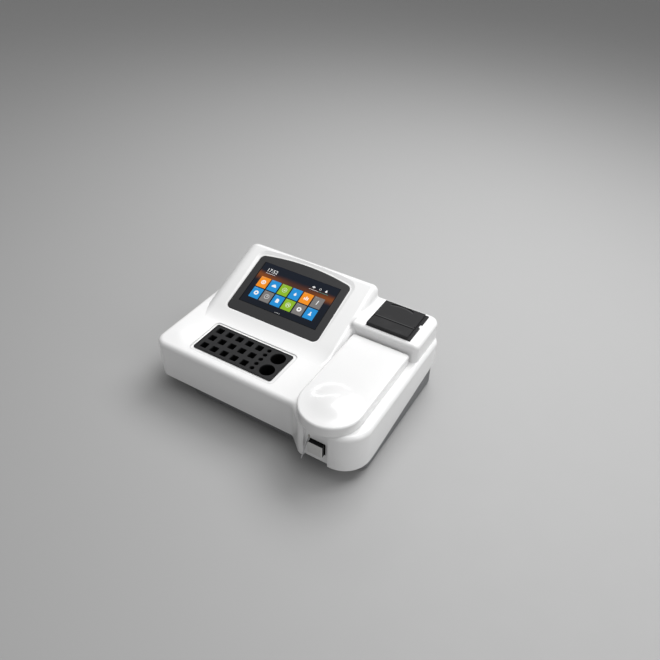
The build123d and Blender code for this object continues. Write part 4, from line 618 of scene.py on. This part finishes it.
class ANALYZER_OT_screen(bpy.types.Operator):
    """Finish the bezel and the glass, and draw the lit start screen"""

    bl_idname = "analyzer.screen"
    bl_label = "Screen"

    def execute(self, context):
        look = context.scene.analyzer_screen
        housing = context.scene.analyzer_housing
        plane = ScreenPlane()
        dress("screen_bezel", grained_moulding("bezel", housing.charcoal, 0.42, housing.grain))
        dress("touch_glass", self.glass(look, plane))
        dress("display_panel", drawn_metal("display can", tone(150, 152, 154), 0.4, ALONG_X))
        dress("display_bracket", drawn_metal("display bracket", tone(168, 170, 172), 0.45, ALONG_X))
        self.tiles(look, plane)
        self.signs(look, plane)
        return {"FINISHED"}

    def glass(self, look, plane):
        """Deep blue backdrop with a warm band behind the upper tiles."""
        finish = Finish("lit glass")
        side = finish.away(plane.across, plane.origin)
        upward = finish.along(plane.upward, plane.origin)
        wavy = upward + (finish.noise(50 * MM, 2) - 0.5) * (12 * MM)
        rise = finish.fade(wavy, 48 * MM, 62 * MM)
        fall = 1 - finish.fade(wavy, 62 * MM, 74 * MM)
        ends = finish.fade(side, 5 * MM, 70 * MM)
        band = rise * fall * (0.35 + 0.65 * ends)
        inside = finish.fade(side, 77.2 * MM, 76.8 * MM) * finish.fade(upward, -0.2 * MM, 0.2 * MM)
        colour = finish.mix(finish.fade(upward, 0.0, 86 * MM), darker(look.backdrop, 0.8), look.backdrop)
        colour = finish.mix(band, colour, look.glow)
        return finish.surface(
            Base_Color=tone(9, 10, 12),
            Roughness=0.1 + 0.05 * finish.noise(20 * MM, 4),
            Specular_IOR_Level=0.25,
            Coat_Weight=0.2,
            Coat_Roughness=0.03,
            Emission_Color=finish.mix(inside, (0, 0, 0), colour),
            Emission_Strength=look.brightness,
        )

    def tiles(self, look, plane):
        """Two rows of six coloured tiles."""
        piece = Piece("screen_tiles")
        for line, row in enumerate(TILE_ROWS):
            for column, slot in enumerate(row):
                centre = [level * MM for level in self.tile_centre(look, line, column)]
                outline = rounded(look.tile_width, look.tile_height, TILE_CORNER * MM, centre, 2)
                piece.plate(outline, plane.place, 0.02 * MM, 0.05 * MM, slot)
        materials = [lit(f"{name} tile", getattr(look, name), look.brightness) for name in TILE_SHADES]
        piece.finish("instrument", "screen_glass", materials)

    def tile_centre(self, look, line, column):
        """Middle of a tile, in millimetres on the glass."""
        middle = (len(TILE_ROWS[0]) - 1) / 2
        return TILE_MIDDLE_X + (column - middle) * look.column / MM, UPPER_ROW_HEIGHT - line * look.row / MM

    def signs(self, look, plane):
        """White signs and captions on the tiles, the status signs, the page dots and the clock."""
        self.piece = Piece("screen_signs")
        self.plane = plane
        columns = len(TILE_ROWS[0])
        for index, (kind, *sizes) in enumerate(SIGNS):
            u, v = self.tile_centre(look, index // columns, index % columns)
            getattr(self, kind)(u, v + SIGN_RISE, *sizes)
            self.caption(u, v, CAPTION_LENGTHS[index % len(CAPTION_LENGTHS)])
        self.bar(-55.0, 67.4, 20.0, 0.55)
        for u in PAGE_DOTS:
            self.disc(u, PAGE_DOT_HEIGHT, PAGE_DOT_RADIUS)
        self.disc(32.1, STATUS_HEIGHT, 2.1, 1.1)
        self.bar(32.1, STATUS_HEIGHT, 6.4, 0.9)
        self.disc(45.0, STATUS_HEIGHT, 2.0, 1.5)
        self.drop(57.0, STATUS_HEIGHT, 1.9, -0.4)
        self.bar(34.4, STATUS_LINE_HEIGHT, STATUS_LINE_LENGTH, 0.5)
        ink = lit("screen ink", look.ink, look.brightness)
        faint = lit("faint ink", darker(look.ink, 0.45), look.brightness)
        teal = lit("teal line", look.teal, look.brightness)
        self.bar(53.6, STATUS_LINE_HEIGHT, STATUS_LINE_LENGTH, 0.5, 2)
        self.piece.finish("instrument", "screen_glass", [ink, faint, teal])
        self.clock(ink)

    def level(self, outline, slot=0, hole=()):
        """Thin plate just over the tiles, on an outline in millimetres."""
        outline, hole = ([(u * MM, v * MM) for u, v in points] for points in (outline, hole))
        self.piece.plate(outline, self.plane.place, 0.06 * MM, 0.09 * MM, slot, hole)

    def shape(self, u, v, outline):
        """Flat shape on an outline of its own."""
        self.level([(u + x, v + y) for x, y in outline])

    def block(self, u, v, width, height, radius, steps=3):
        """Rectangle with rounded corners."""
        self.level(rounded(width, height, radius, (u, v), steps))

    def bar(self, u, v, width, height, slot=0):
        """Flat stroke with round ends."""
        self.level(rounded(width, height, height * 0.45, (u, v), 3), slot)

    def disc(self, u, v, radius, hole=0):
        """Disc, or a ring where it has a hole."""
        self.level(circle(radius, (u, v)), hole=circle(hole, (u, v)) if hole else ())

    def drop(self, u, v, radius, rise):
        """Drop with its point up."""
        angles = [math.radians(148 + 244 * index / 24) for index in range(25)]
        points = [(radius * math.cos(angle), radius * math.sin(angle)) for angle in angles]
        self.shape(u, v + rise, [*points, (0, radius * 1.9)])

    def caption(self, u, v, lengths):
        """Short pale strokes that stand for a caption at the top left of a tile."""
        left = u - CAPTION_LEFT
        for length in lengths:
            self.bar(left + length / 2, v + CAPTION_RISE, length, CAPTION_STROKE, 1)
            left += length + CAPTION_GAP

    def gear(self, u, v, bore, hub=0):
        """Gear wheel with a bore, and a hub in it."""
        outline = []
        for step, (x, y) in enumerate(circle(1, count=GEAR_POINTS)):
            reach = GEAR_TIP if (step // 2) % 2 else GEAR_ROOT
            outline.append((u + x * reach, v + y * reach))
        self.level(outline, hole=circle(bore, (u, v), GEAR_POINTS))
        if hub:
            self.disc(u, v, hub)

    def cloud(self, u, v):
        """Cloud, the outer hull of three circles on a flat foot."""
        points = []
        for way_x, way_y in circle(1, count=CLOUD_POINTS):
            reach = 0
            for x, y, radius in CLOUD_LOBES:
                middle = x * way_x + y * way_y
                side = (x * x + y * y) - middle * middle
                if side < radius * radius:
                    reach = max(reach, middle + math.sqrt(radius * radius - side))
            points.append((reach * way_x, max(reach * way_y, CLOUD_FOOT)))
        self.shape(u, v, points)

    def tick(self, u, v):
        """Tick in a ring."""
        self.disc(u, v, RING_OUTER, RING_INNER)
        self.shape(u, v, TICK)

    def columns(self, u, v):
        """Chart of three columns."""
        for side, height in ((-3.0, 4.2), (0.0, 7.0), (3.0, 5.6)):
            self.block(u + side, v - 3.4 + height / 2, 2.0, height, 0.3, 2)

    def dial(self, u, v):
        """Clock with two hands."""
        self.disc(u, v, RING_OUTER, RING_INNER)
        self.bar(u + 0.9, v, 2.4, 0.7)
        self.block(u, v + 1.2, 0.7, 3.2, 0.3)

    def rack(self, u, v):
        """Two tubes in a rack, in a ring."""
        self.disc(u, v, RING_OUTER, RING_INNER)
        for side in (-1.7, 1.7):
            self.block(u + side, v - 0.6, 1.2, 3.2, 0.5)
        self.bar(u, v + 1.6, 4.2, 0.7)

    def clock(self, ink):
        """The hour and minutes at the top left, as plain numerals."""
        curve = bpy.data.curves.new("screen_clock", "FONT")
        curve.body = "17:52"
        curve.size = CLOCK_SIZE * MM
        curve.extrude = 0.015 * MM
        curve.align_x = "CENTER"
        curve.resolution_u = 3
        text = placed("screen_clock_text", curve)
        bpy.context.view_layer.update()
        data = bpy.data.meshes.new_from_object(text)
        bpy.data.objects.remove(text)
        turn = Matrix((self.plane.across, self.plane.upward, self.plane.outward)).transposed().to_4x4()
        place = self.plane.place(CLOCK_X * MM, CLOCK_HEIGHT * MM, 0.075 * MM)
        data.transform(Matrix.Translation(place) @ turn)
        data.materials.clear()
        data.materials.append(ink)
        clock = placed("screen_clock", data)
        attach(clock, "instrument")


class ANALYZER_OT_incubator(bpy.types.Operator):
    """Finish the dark incubator block, its rim and the heater under it"""

    bl_idname = "analyzer.incubator"
    bl_label = "Incubator"

    def execute(self, context):
        look = context.scene.analyzer_housing
        dress("incubator_block", self.block())
        dress("block_rim", grained_moulding("block rim", look.black, 0.4, look.grain))
        dress("heater_pad", soft_rubber("heater pad", tone(170, 92, 48)))
        return {"FINISHED"}

    def block(self):
        """Black anodised metal, with painted shade that darkens it down in the wells."""
        _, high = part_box("incubator_block")
        finish = Finish("anodised block")
        depth = finish.along((0, 0, -1), (0, 0, high.z))
        grain = finish.noise(0.5 * MM, 3)
        cloud = finish.noise(30 * MM, 3)
        face = finish.mix(cloud, tone(44, 44, 45), tone(50, 50, 51))
        return finish.surface(
            # Painted shade: near black from 0.3 mm to 4 mm below the top of the block.
            Base_Color=finish.mix(finish.fade(depth, 0.3 * MM, 4 * MM), face, tone(12, 12, 13)),
            Roughness=0.5 + 0.12 * (grain - 0.5),
            Specular_IOR_Level=0.08,
            Normal=finish.dent(grain, 0.03 * MM),
        )


class ANALYZER_OT_printer(bpy.types.Operator):
    """Finish the thermal printer and its works"""

    bl_idname = "analyzer.printer"
    bl_label = "Printer"

    def execute(self, context):
        look = context.scene.analyzer_housing
        shade = darker(look.charcoal, 0.8)
        charcoal = grained_moulding("printer charcoal", shade, 0.6, look.grain, sheen=0.1, lines=self.lines)
        dress("printer_frame printer_door", charcoal)
        dress("door_hinge_pin", drawn_metal("hinge steel", tone(196, 197, 199), 0.25, ALONG_X))
        dress("platen_roller", soft_rubber("platen rubber", tone(38, 38, 39)))
        dress("platen_shaft", drawn_metal("platen steel", tone(190, 191, 193), 0.3, ALONG_X))
        dress("drive_gear", grained_moulding("acetal gear", tone(222, 219, 208), 0.4, 0.5 * MM))
        dress("feed_motor", drawn_metal("motor can", tone(178, 180, 182), 0.35, ALONG_Z))
        dress("print_head", grained_moulding("head ceramic", tone(176, 158, 138), 0.35, 0.4 * MM))
        low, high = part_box("paper_roll")
        dress("paper_roll", wound_paper("paper roll", (0, (low.y + high.y) / 2, (low.z + high.z) / 2)))
        return {"FINISHED"}

    def lines(self, finish):
        """Painted shade as dark lines over the seam before the door and over the finger grip, with painted
        highlights on pale edges beside them.

        They are broader than the gaps under them, which are too fine to show from a step away.
        """
        low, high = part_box("printer_door")
        seam = finish.along(Y_AXIS, (0, low.y - 0.2 * MM, 0))
        top = finish.fade(finish.along(Z_AXIS, (0, 0, high.z)), -4 * MM, -2.8 * MM)
        middle = Vector(((low.x + high.x) / 2 - 2.8 * MM, high.y - 53.8 * MM, 0))
        across = finish.along(X_AXIS, middle)
        back = finish.along(Y_AXIS, middle)
        reach = finish.length(across, back)
        inside = finish.near(across, 19.5 * MM, 21 * MM) * finish.fade(back, 30 * MM, 40 * MM)
        arc_shade = finish.near(reach - 51.6 * MM, 1.3 * MM, 1.8 * MM) * inside
        lip_highlight = finish.near(reach - 48.7 * MM, 0.5 * MM, 1.4 * MM) * inside
        # Painted shade over the seam and the finger grip, and painted highlights on the edges beside them.
        groove_shade = finish.math("MAXIMUM", finish.near(seam, 0.8 * MM, 1.5 * MM), arc_shade)
        edge = finish.math("MAXIMUM", finish.near(seam - 2.2 * MM, 0.4 * MM, 1.2 * MM), lip_highlight)
        return groove_shade * top * 0.9, edge * top * 0.5


class ANALYZER_OT_sampling(bpy.types.Operator):
    """Finish the probe and the sample key on the nose"""

    bl_idname = "analyzer.sampling"
    bl_label = "Sampling"

    def execute(self, context):
        look = context.scene.analyzer_housing
        dress("sipper_probe", drawn_metal("probe steel", tone(206, 207, 209), 0.2, (1, 0.3, 0.3)))
        dress("probe_ferrule", drawn_metal("ferrule nickel", tone(186, 184, 176), 0.3, (1, 0.3, 0.3)))
        dress("key_guide", grained_moulding("key guide", darker(look.black, 0.8), 0.35, look.grain))
        dress("sample_key", grained_moulding("key body", darker(look.black, 0.7), 0.25, look.grain, 0.01 * MM))
        dress("key_cap", gloss_moulding("key cap", look.key, 0.3))
        dress("key_switch", grained_moulding("switch body", tone(34, 36, 40), 0.4, look.grain))
        return {"FINISHED"}


class ANALYZER_OT_fluidics(bpy.types.Operator):
    """Finish the pump, its tubes and the flow cell under the lid"""

    bl_idname = "analyzer.fluidics"
    bl_label = "Pump and cell"

    def execute(self, context):
        dress("pump_housing", grained_moulding("pump housing", tone(208, 208, 204), 0.35, 0.5 * MM))
        dress("pump_rotor", grained_moulding("pump rotor", tone(58, 60, 64), 0.4, 0.5 * MM))
        roller = gloss_moulding("pump rollers", tone(226, 224, 216), 0.25)
        dress("pump_roller_1 pump_roller_2 pump_roller_3", roller)
        dress("pump_motor", drawn_metal("pump motor", tone(180, 182, 184), 0.35, ALONG_Z))
        dress("pump_tube sipper_tube", clear_moulding("silicone tube", tone(226, 222, 208), 0.35, 0.35))
        dress("flow_cell_holder lens_tube", drawn_metal("black anodised", tone(52, 52, 54), 0.5, NO_DIRECTION))
        dress("flow_cell", clear_moulding("cell glass", tone(228, 236, 240), 0.04, 0.85))
        dress("detector_board", printed_board("detector board"))
        return {"FINISHED"}


class ANALYZER_OT_optics(bpy.types.Operator):
    """Finish the filter wheel, the lamp and their carrier"""

    bl_idname = "analyzer.optics"
    bl_label = "Optics"

    def execute(self, context):
        aluminium = drawn_metal("machined aluminium", tone(200, 202, 204), 0.35, (1, 1, 0.2))
        dress("filter_wheel optics_bracket", aluminium)
        dress("lamp_housing", drawn_metal("lamp housing", tone(64, 64, 66), 0.5, (1, 0.2, 1)))
        dress("filter_motor", drawn_metal("filter motor", tone(176, 178, 180), 0.35, ALONG_Y))
        dress("halogen_lamp", clear_moulding("lamp glass", tone(240, 236, 224), 0.05, 0.8))
        dress("optical_filters", self.filters())
        return {"FINISHED"}

    def filters(self):
        """Interference filters, whose colour goes round the wheel."""
        finish = Finish("filter glass")
        low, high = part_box("optical_filters")
        centre = (low + high) / 2
        across = finish.along(X_AXIS, centre)
        upward = finish.along(Z_AXIS, centre)
        turn = finish.math("ARCTAN2", upward, across) / FULL_TURN + 0.5
        glasses = ((90, 60, 190), (40, 120, 220), (60, 180, 110), (230, 170, 50), (210, 60, 60))
        stops = [(index / (len(glasses) - 1), tone(*shade)) for index, shade in enumerate(glasses)]
        colour = finish.add("ShaderNodeValToRGB", {"stops": stops}, {"Fac": turn}, "Color")
        polish = 0.06 + 0.05 * finish.noise(3 * MM, 2)
        return finish.surface(Base_Color=colour, Roughness=polish, Coat_Weight=0.6)


class ANALYZER_OT_back(bpy.types.Operator):
    """Finish the rear panel, its sockets, the fan and the boards"""

    bl_idname = "analyzer.back"
    bl_label = "Rear panel"

    def execute(self, context):
        look = context.scene.analyzer_housing
        dress("rear_panel", grained_moulding("panel paint", tone(206, 206, 204), 0.42, 0.9 * MM, 0.03 * MM))
        socket = grained_moulding("socket black", look.black, 0.38, look.grain)
        dress("switch_body fan_frame fan_rotor", socket)
        dress("power_inlet", self.inlet(look))
        dress("switch_rocker", gloss_moulding("rocker black", darker(look.black, 0.9), 0.3))
        dress("waste_fitting", gloss_moulding("waste fitting", tone(226, 224, 216), 0.35))
        dress("port_board", self.ports())
        dress("main_board", printed_board("main board"))
        dress("power_supply", drawn_metal("supply case", tone(184, 186, 188), 0.4, ALONG_X))
        return {"FINISHED"}

    def inlet(self, look):
        """Black mains inlet whose three pins, deep in its well, are nickel plated."""
        low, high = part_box("power_inlet")
        middle = (low + high) / 2
        finish = Finish("mains inlet")
        pits = finish.noise(look.grain, 2)
        beside = finish.near(finish.along(X_AXIS, middle), 8.3 * MM, 8.6 * MM)
        level = finish.near(finish.along(Z_AXIS, middle), 5.4 * MM, 5.7 * MM)
        above = finish.along(Y_AXIS, (0, high.y - 16 * MM, 0))
        pins = beside * level * finish.fade(above, 0.2 * MM, 0.4 * MM)
        return finish.surface(
            Base_Color=finish.mix(pins, look.black, tone(206, 203, 196)),
            Metallic=pins * 0.6,
            Roughness=0.38 + 0.1 * (pits - 0.5) - 0.08 * pins,
            Specular_IOR_Level=0.22,
            Normal=finish.dent(pits, 0.03 * MM),
        )

    def ports(self):
        """Circuit board whose connector shells, behind it, are tinned steel."""
        low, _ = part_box("port_board")
        finish = Finish("port board")
        shells = finish.fade(finish.along(Y_AXIS, low), 13.5 * MM, 13.7 * MM)
        lines = finish.noise(0.5 * MM, 3, finish.scaled(0.1, 1, 1))
        tin = finish.mix(lines, tone(160, 161, 162), tone(196, 197, 199))
        return finish.surface(
            Base_Color=finish.mix(shells, tone(22, 96, 54), tin),
            Metallic=shells * 0.95,
            Roughness=0.42 - 0.12 * shells + 0.08 * lines,
        )


# Screw heads, as shares of the head's radius and height, and the thread in millimetres.
HEAD_DOME = ((0.62, 0), (0.82, 0.08), (0.94, 0.26), (1, 0.55), (1, 1))
CROSS_REACH, CROSS_HALF_WIDTH, CROSS_FLOOR, CROSS_DEPTH, CROSS_LIP = 0.55, 0.13, 0.5, 0.75, 0.02
THREAD_PITCH, THREAD_ROOT, SCREW_TIP = 0.5, 0.82, 0.7
SCREW_SIDES = 32


class ANALYZER_OT_fasteners(bpy.types.Operator):
    """Turn the screws into pan heads with a cross recess and a rolled thread"""

    bl_idname = "analyzer.fasteners"
    bl_label = "Fasteners"

    def execute(self, context):
        zinc = drawn_metal("zinc plated screw", tone(178, 180, 184), 0.3, NO_DIRECTION)
        steel = drawn_metal("hinge pin steel", tone(200, 201, 203), 0.22, ALONG_X)
        dress("lid_hinge_pin", steel)
        self.screws("base_screws", zinc, axis=2, outward=-1, head_radius=2.9, head_height=1.8, shank_radius=1.25)
        self.screws("panel_screws", zinc, axis=1, outward=1, head_radius=2.4, head_height=1.2, shank_radius=1.2)
        return {"FINISHED"}

    def screws(self, node, material, axis, outward, **sizes):
        """Screws in the places of a node's solids, heads on the outward side of an axis."""
        piece = Piece(node + "_cross")
        for low, high in islands(node):
            top = (high if outward > 0 else low)[axis]
            length = (high - low)[axis] / MM
            self.screw(piece, (low + high) / 2, axis, outward, top, length, **sizes)
        piece.finish("instrument", "zinc_plate", [material], [node])

    def screw(self, piece, middle, axis, outward, top, length, head_radius, head_height, shank_radius):
        """One pan head with a cross recess, on a threaded shank. Sizes are in millimetres."""
        first, second = [index for index in range(3) if index != axis]

        def ring(radii, depth):
            """Ring at a depth below the top, with a radius for each of its points or one for all."""
            if not isinstance(radii, list):
                radii = [radii] * SCREW_SIDES
            points = []
            for (x, y), reach in zip(circle(1, count=SCREW_SIDES), radii):
                point = Vector(middle)
                point[first] += reach * MM * x
                point[second] += reach * MM * y
                point[axis] = top - outward * depth * MM
                points.append(point)
            return piece.ring(points)

        def cross_ring(scale, depth):
            """Ring on the outline of the cross recess."""
            arm, side = CROSS_REACH * head_radius * scale, CROSS_HALF_WIDTH * head_radius * scale
            radii = []
            for x, y in circle(1, count=SCREW_SIDES):
                across, along = sorted((abs(x), abs(y)))
                radii.append(min(arm / along, side / max(across, 0.001)))
            return ring(radii, depth)

        rings = [cross_ring(CROSS_FLOOR, CROSS_DEPTH * head_height), cross_ring(1, CROSS_LIP * head_height)]
        rings += [ring(head_radius * share, head_height * depth) for share, depth in HEAD_DOME]
        rings.append(ring(shank_radius, head_height))
        depth = head_height + THREAD_PITCH
        while depth < length - THREAD_PITCH:
            rings.append(ring(shank_radius, depth))
            rings.append(ring(shank_radius * THREAD_ROOT, depth + THREAD_PITCH / 2))
            depth += THREAD_PITCH
        rings.append(ring(shank_radius * SCREW_TIP, length))
        piece.skin(rings)
        piece.cap(rings[0])
        piece.cap(rings[-1])


# The studio, in metres. Each softbox has its place, width and height, and looks at the aim.
FLOOR_RADII = (0.4, 0.8, 1.6, 3.2, 6.4, 12.0)
FLOOR_SIDES = 64
SOFTBOXES = (
    ("back", (0.3, 0.85, 1.4), 1.3, 0.8),
    ("top", (0.4, 0.15, 1.9), 0.8, 0.8),
    ("strip", (-0.8, 1.1, 1.2), 0.9, 0.07),
    ("side", (1.6, -0.3, 0.9), 0.9, 0.9),
)
SOFTBOX_AIM = Vector((0, 0, 0.05))
CAMERA_PLACE = (0.45538, -0.65802, 0.78196)
CAMERA_SENSOR, CAMERA_REACH = 36, 40


class ANALYZER_OT_stage(bpy.types.Operator):
    """Set up the pale floor, the soft lights and the camera"""

    bl_idname = "analyzer.stage"
    bl_label = "Stage"

    def execute(self, context):
        look = context.scene.analyzer_stage
        self.floor(look)
        self.lights(look)
        self.camera(context.scene, look)
        return {"FINISHED"}

    def floor(self, look):
        """Wide round floor, a little uneven like painted board."""
        piece = Piece("studio_floor")
        rings = [piece.ring([(u, v, 0) for u, v in circle(radius, count=FLOOR_SIDES)]) for radius in FLOOR_RADII]
        piece.cap(rings[0])
        piece.skin(rings)
        finish = Finish("studio floor")
        cloud = finish.noise(0.6, 3)
        colour = finish.mix(cloud, darker(look.floor, 0.97), look.floor)
        board = finish.surface(Base_Color=colour, Roughness=0.6 + 0.1 * finish.noise(50 * MM, 3))
        floor = piece.made([board])

    def lights(self, look):
        """Four softboxes and an even light from all round."""
        for name, place, width, height in SOFTBOXES:
            lamp = bpy.data.lights.new(name, "AREA")
            lamp.shape = "RECTANGLE"
            lamp.size, lamp.size_y = width, height
            lamp.energy = getattr(look, name + "_power")
            box = placed(name, lamp)
            box.location = place
            box.rotation_euler = (SOFTBOX_AIM - box.location).to_track_quat("-Z", "Y").to_euler()
        world = bpy.data.worlds.new("studio")
        world.use_nodes = True
        background = world.node_tree.nodes["Background"]
        background.inputs["Color"].default_value = (*look.surround, 1)
        background.inputs["Strength"].default_value = look.surround_level
        bpy.context.scene.world = world

    def camera(self, scene, look):
        """Camera at the photograph's place."""
        azimuth, elevation, roll = look.azimuth, look.elevation, look.roll
        level = math.cos(elevation)
        back = Vector((math.sin(azimuth) * level, -math.cos(azimuth) * level, math.sin(elevation)))
        right = Vector((math.cos(azimuth), math.sin(azimuth), 0))
        up = back.cross(right)
        side = right * math.cos(roll) + up * math.sin(roll)
        rise = up * math.cos(roll) - right * math.sin(roll)
        data = bpy.data.cameras.new("camera")
        data.sensor_width = CAMERA_SENSOR
        data.lens = look.lens
        data.clip_end = CAMERA_REACH
        camera = placed("camera", data)
        turn = Matrix((side, rise, back)).transposed().to_4x4()
        camera.matrix_world = Matrix.Translation(CAMERA_PLACE) @ turn
        scene.camera = camera
        scene.view_settings.view_transform = "Standard"


GROUPS = {
    "analyzer_housing": AnalyzerHousing,
    "analyzer_screen": AnalyzerScreen,
    "analyzer_stage": AnalyzerStage,
}
STEPS = ("housing", "screen", "incubator", "printer", "sampling", "fluidics", "optics", "back", "fasteners", "stage")


class ANALYZER_PT_panel(bpy.types.Panel):
    """Lists the analyzer's steps and settings"""

    bl_idname = "ANALYZER_PT_panel"
    bl_label = "Analyzer"
    bl_space_type = "VIEW_3D"
    bl_region_type = "UI"
    bl_category = "Analyzer"

    def draw(self, context):
        for step in STEPS:
            self.layout.operator("analyzer." + step)
        for group, kind in GROUPS.items():
            for name in kind.__annotations__:
                self.layout.prop(getattr(context.scene, group), name)


CLASSES = (
    *GROUPS.values(),
    ANALYZER_OT_housing,
    ANALYZER_OT_screen,
    ANALYZER_OT_incubator,
    ANALYZER_OT_printer,
    ANALYZER_OT_sampling,
    ANALYZER_OT_fluidics,
    ANALYZER_OT_optics,
    ANALYZER_OT_back,
    ANALYZER_OT_fasteners,
    ANALYZER_OT_stage,
    ANALYZER_PT_panel,
)


def register():
    """Adds the classes and the three groups of settings."""
    for entry in CLASSES:
        bpy.utils.register_class(entry)
    for group, kind in GROUPS.items():
        setattr(bpy.types.Scene, group, PointerProperty(type=kind))


def unregister():
    """Takes them away again."""
    for group in GROUPS:
        delattr(bpy.types.Scene, group)
    for entry in reversed(CLASSES):
        bpy.utils.unregister_class(entry)


def main():
    """Runs every step in order."""
    register()
    for step in STEPS:
        getattr(bpy.ops.analyzer, step)()


if __name__ == "__main__":
    main()
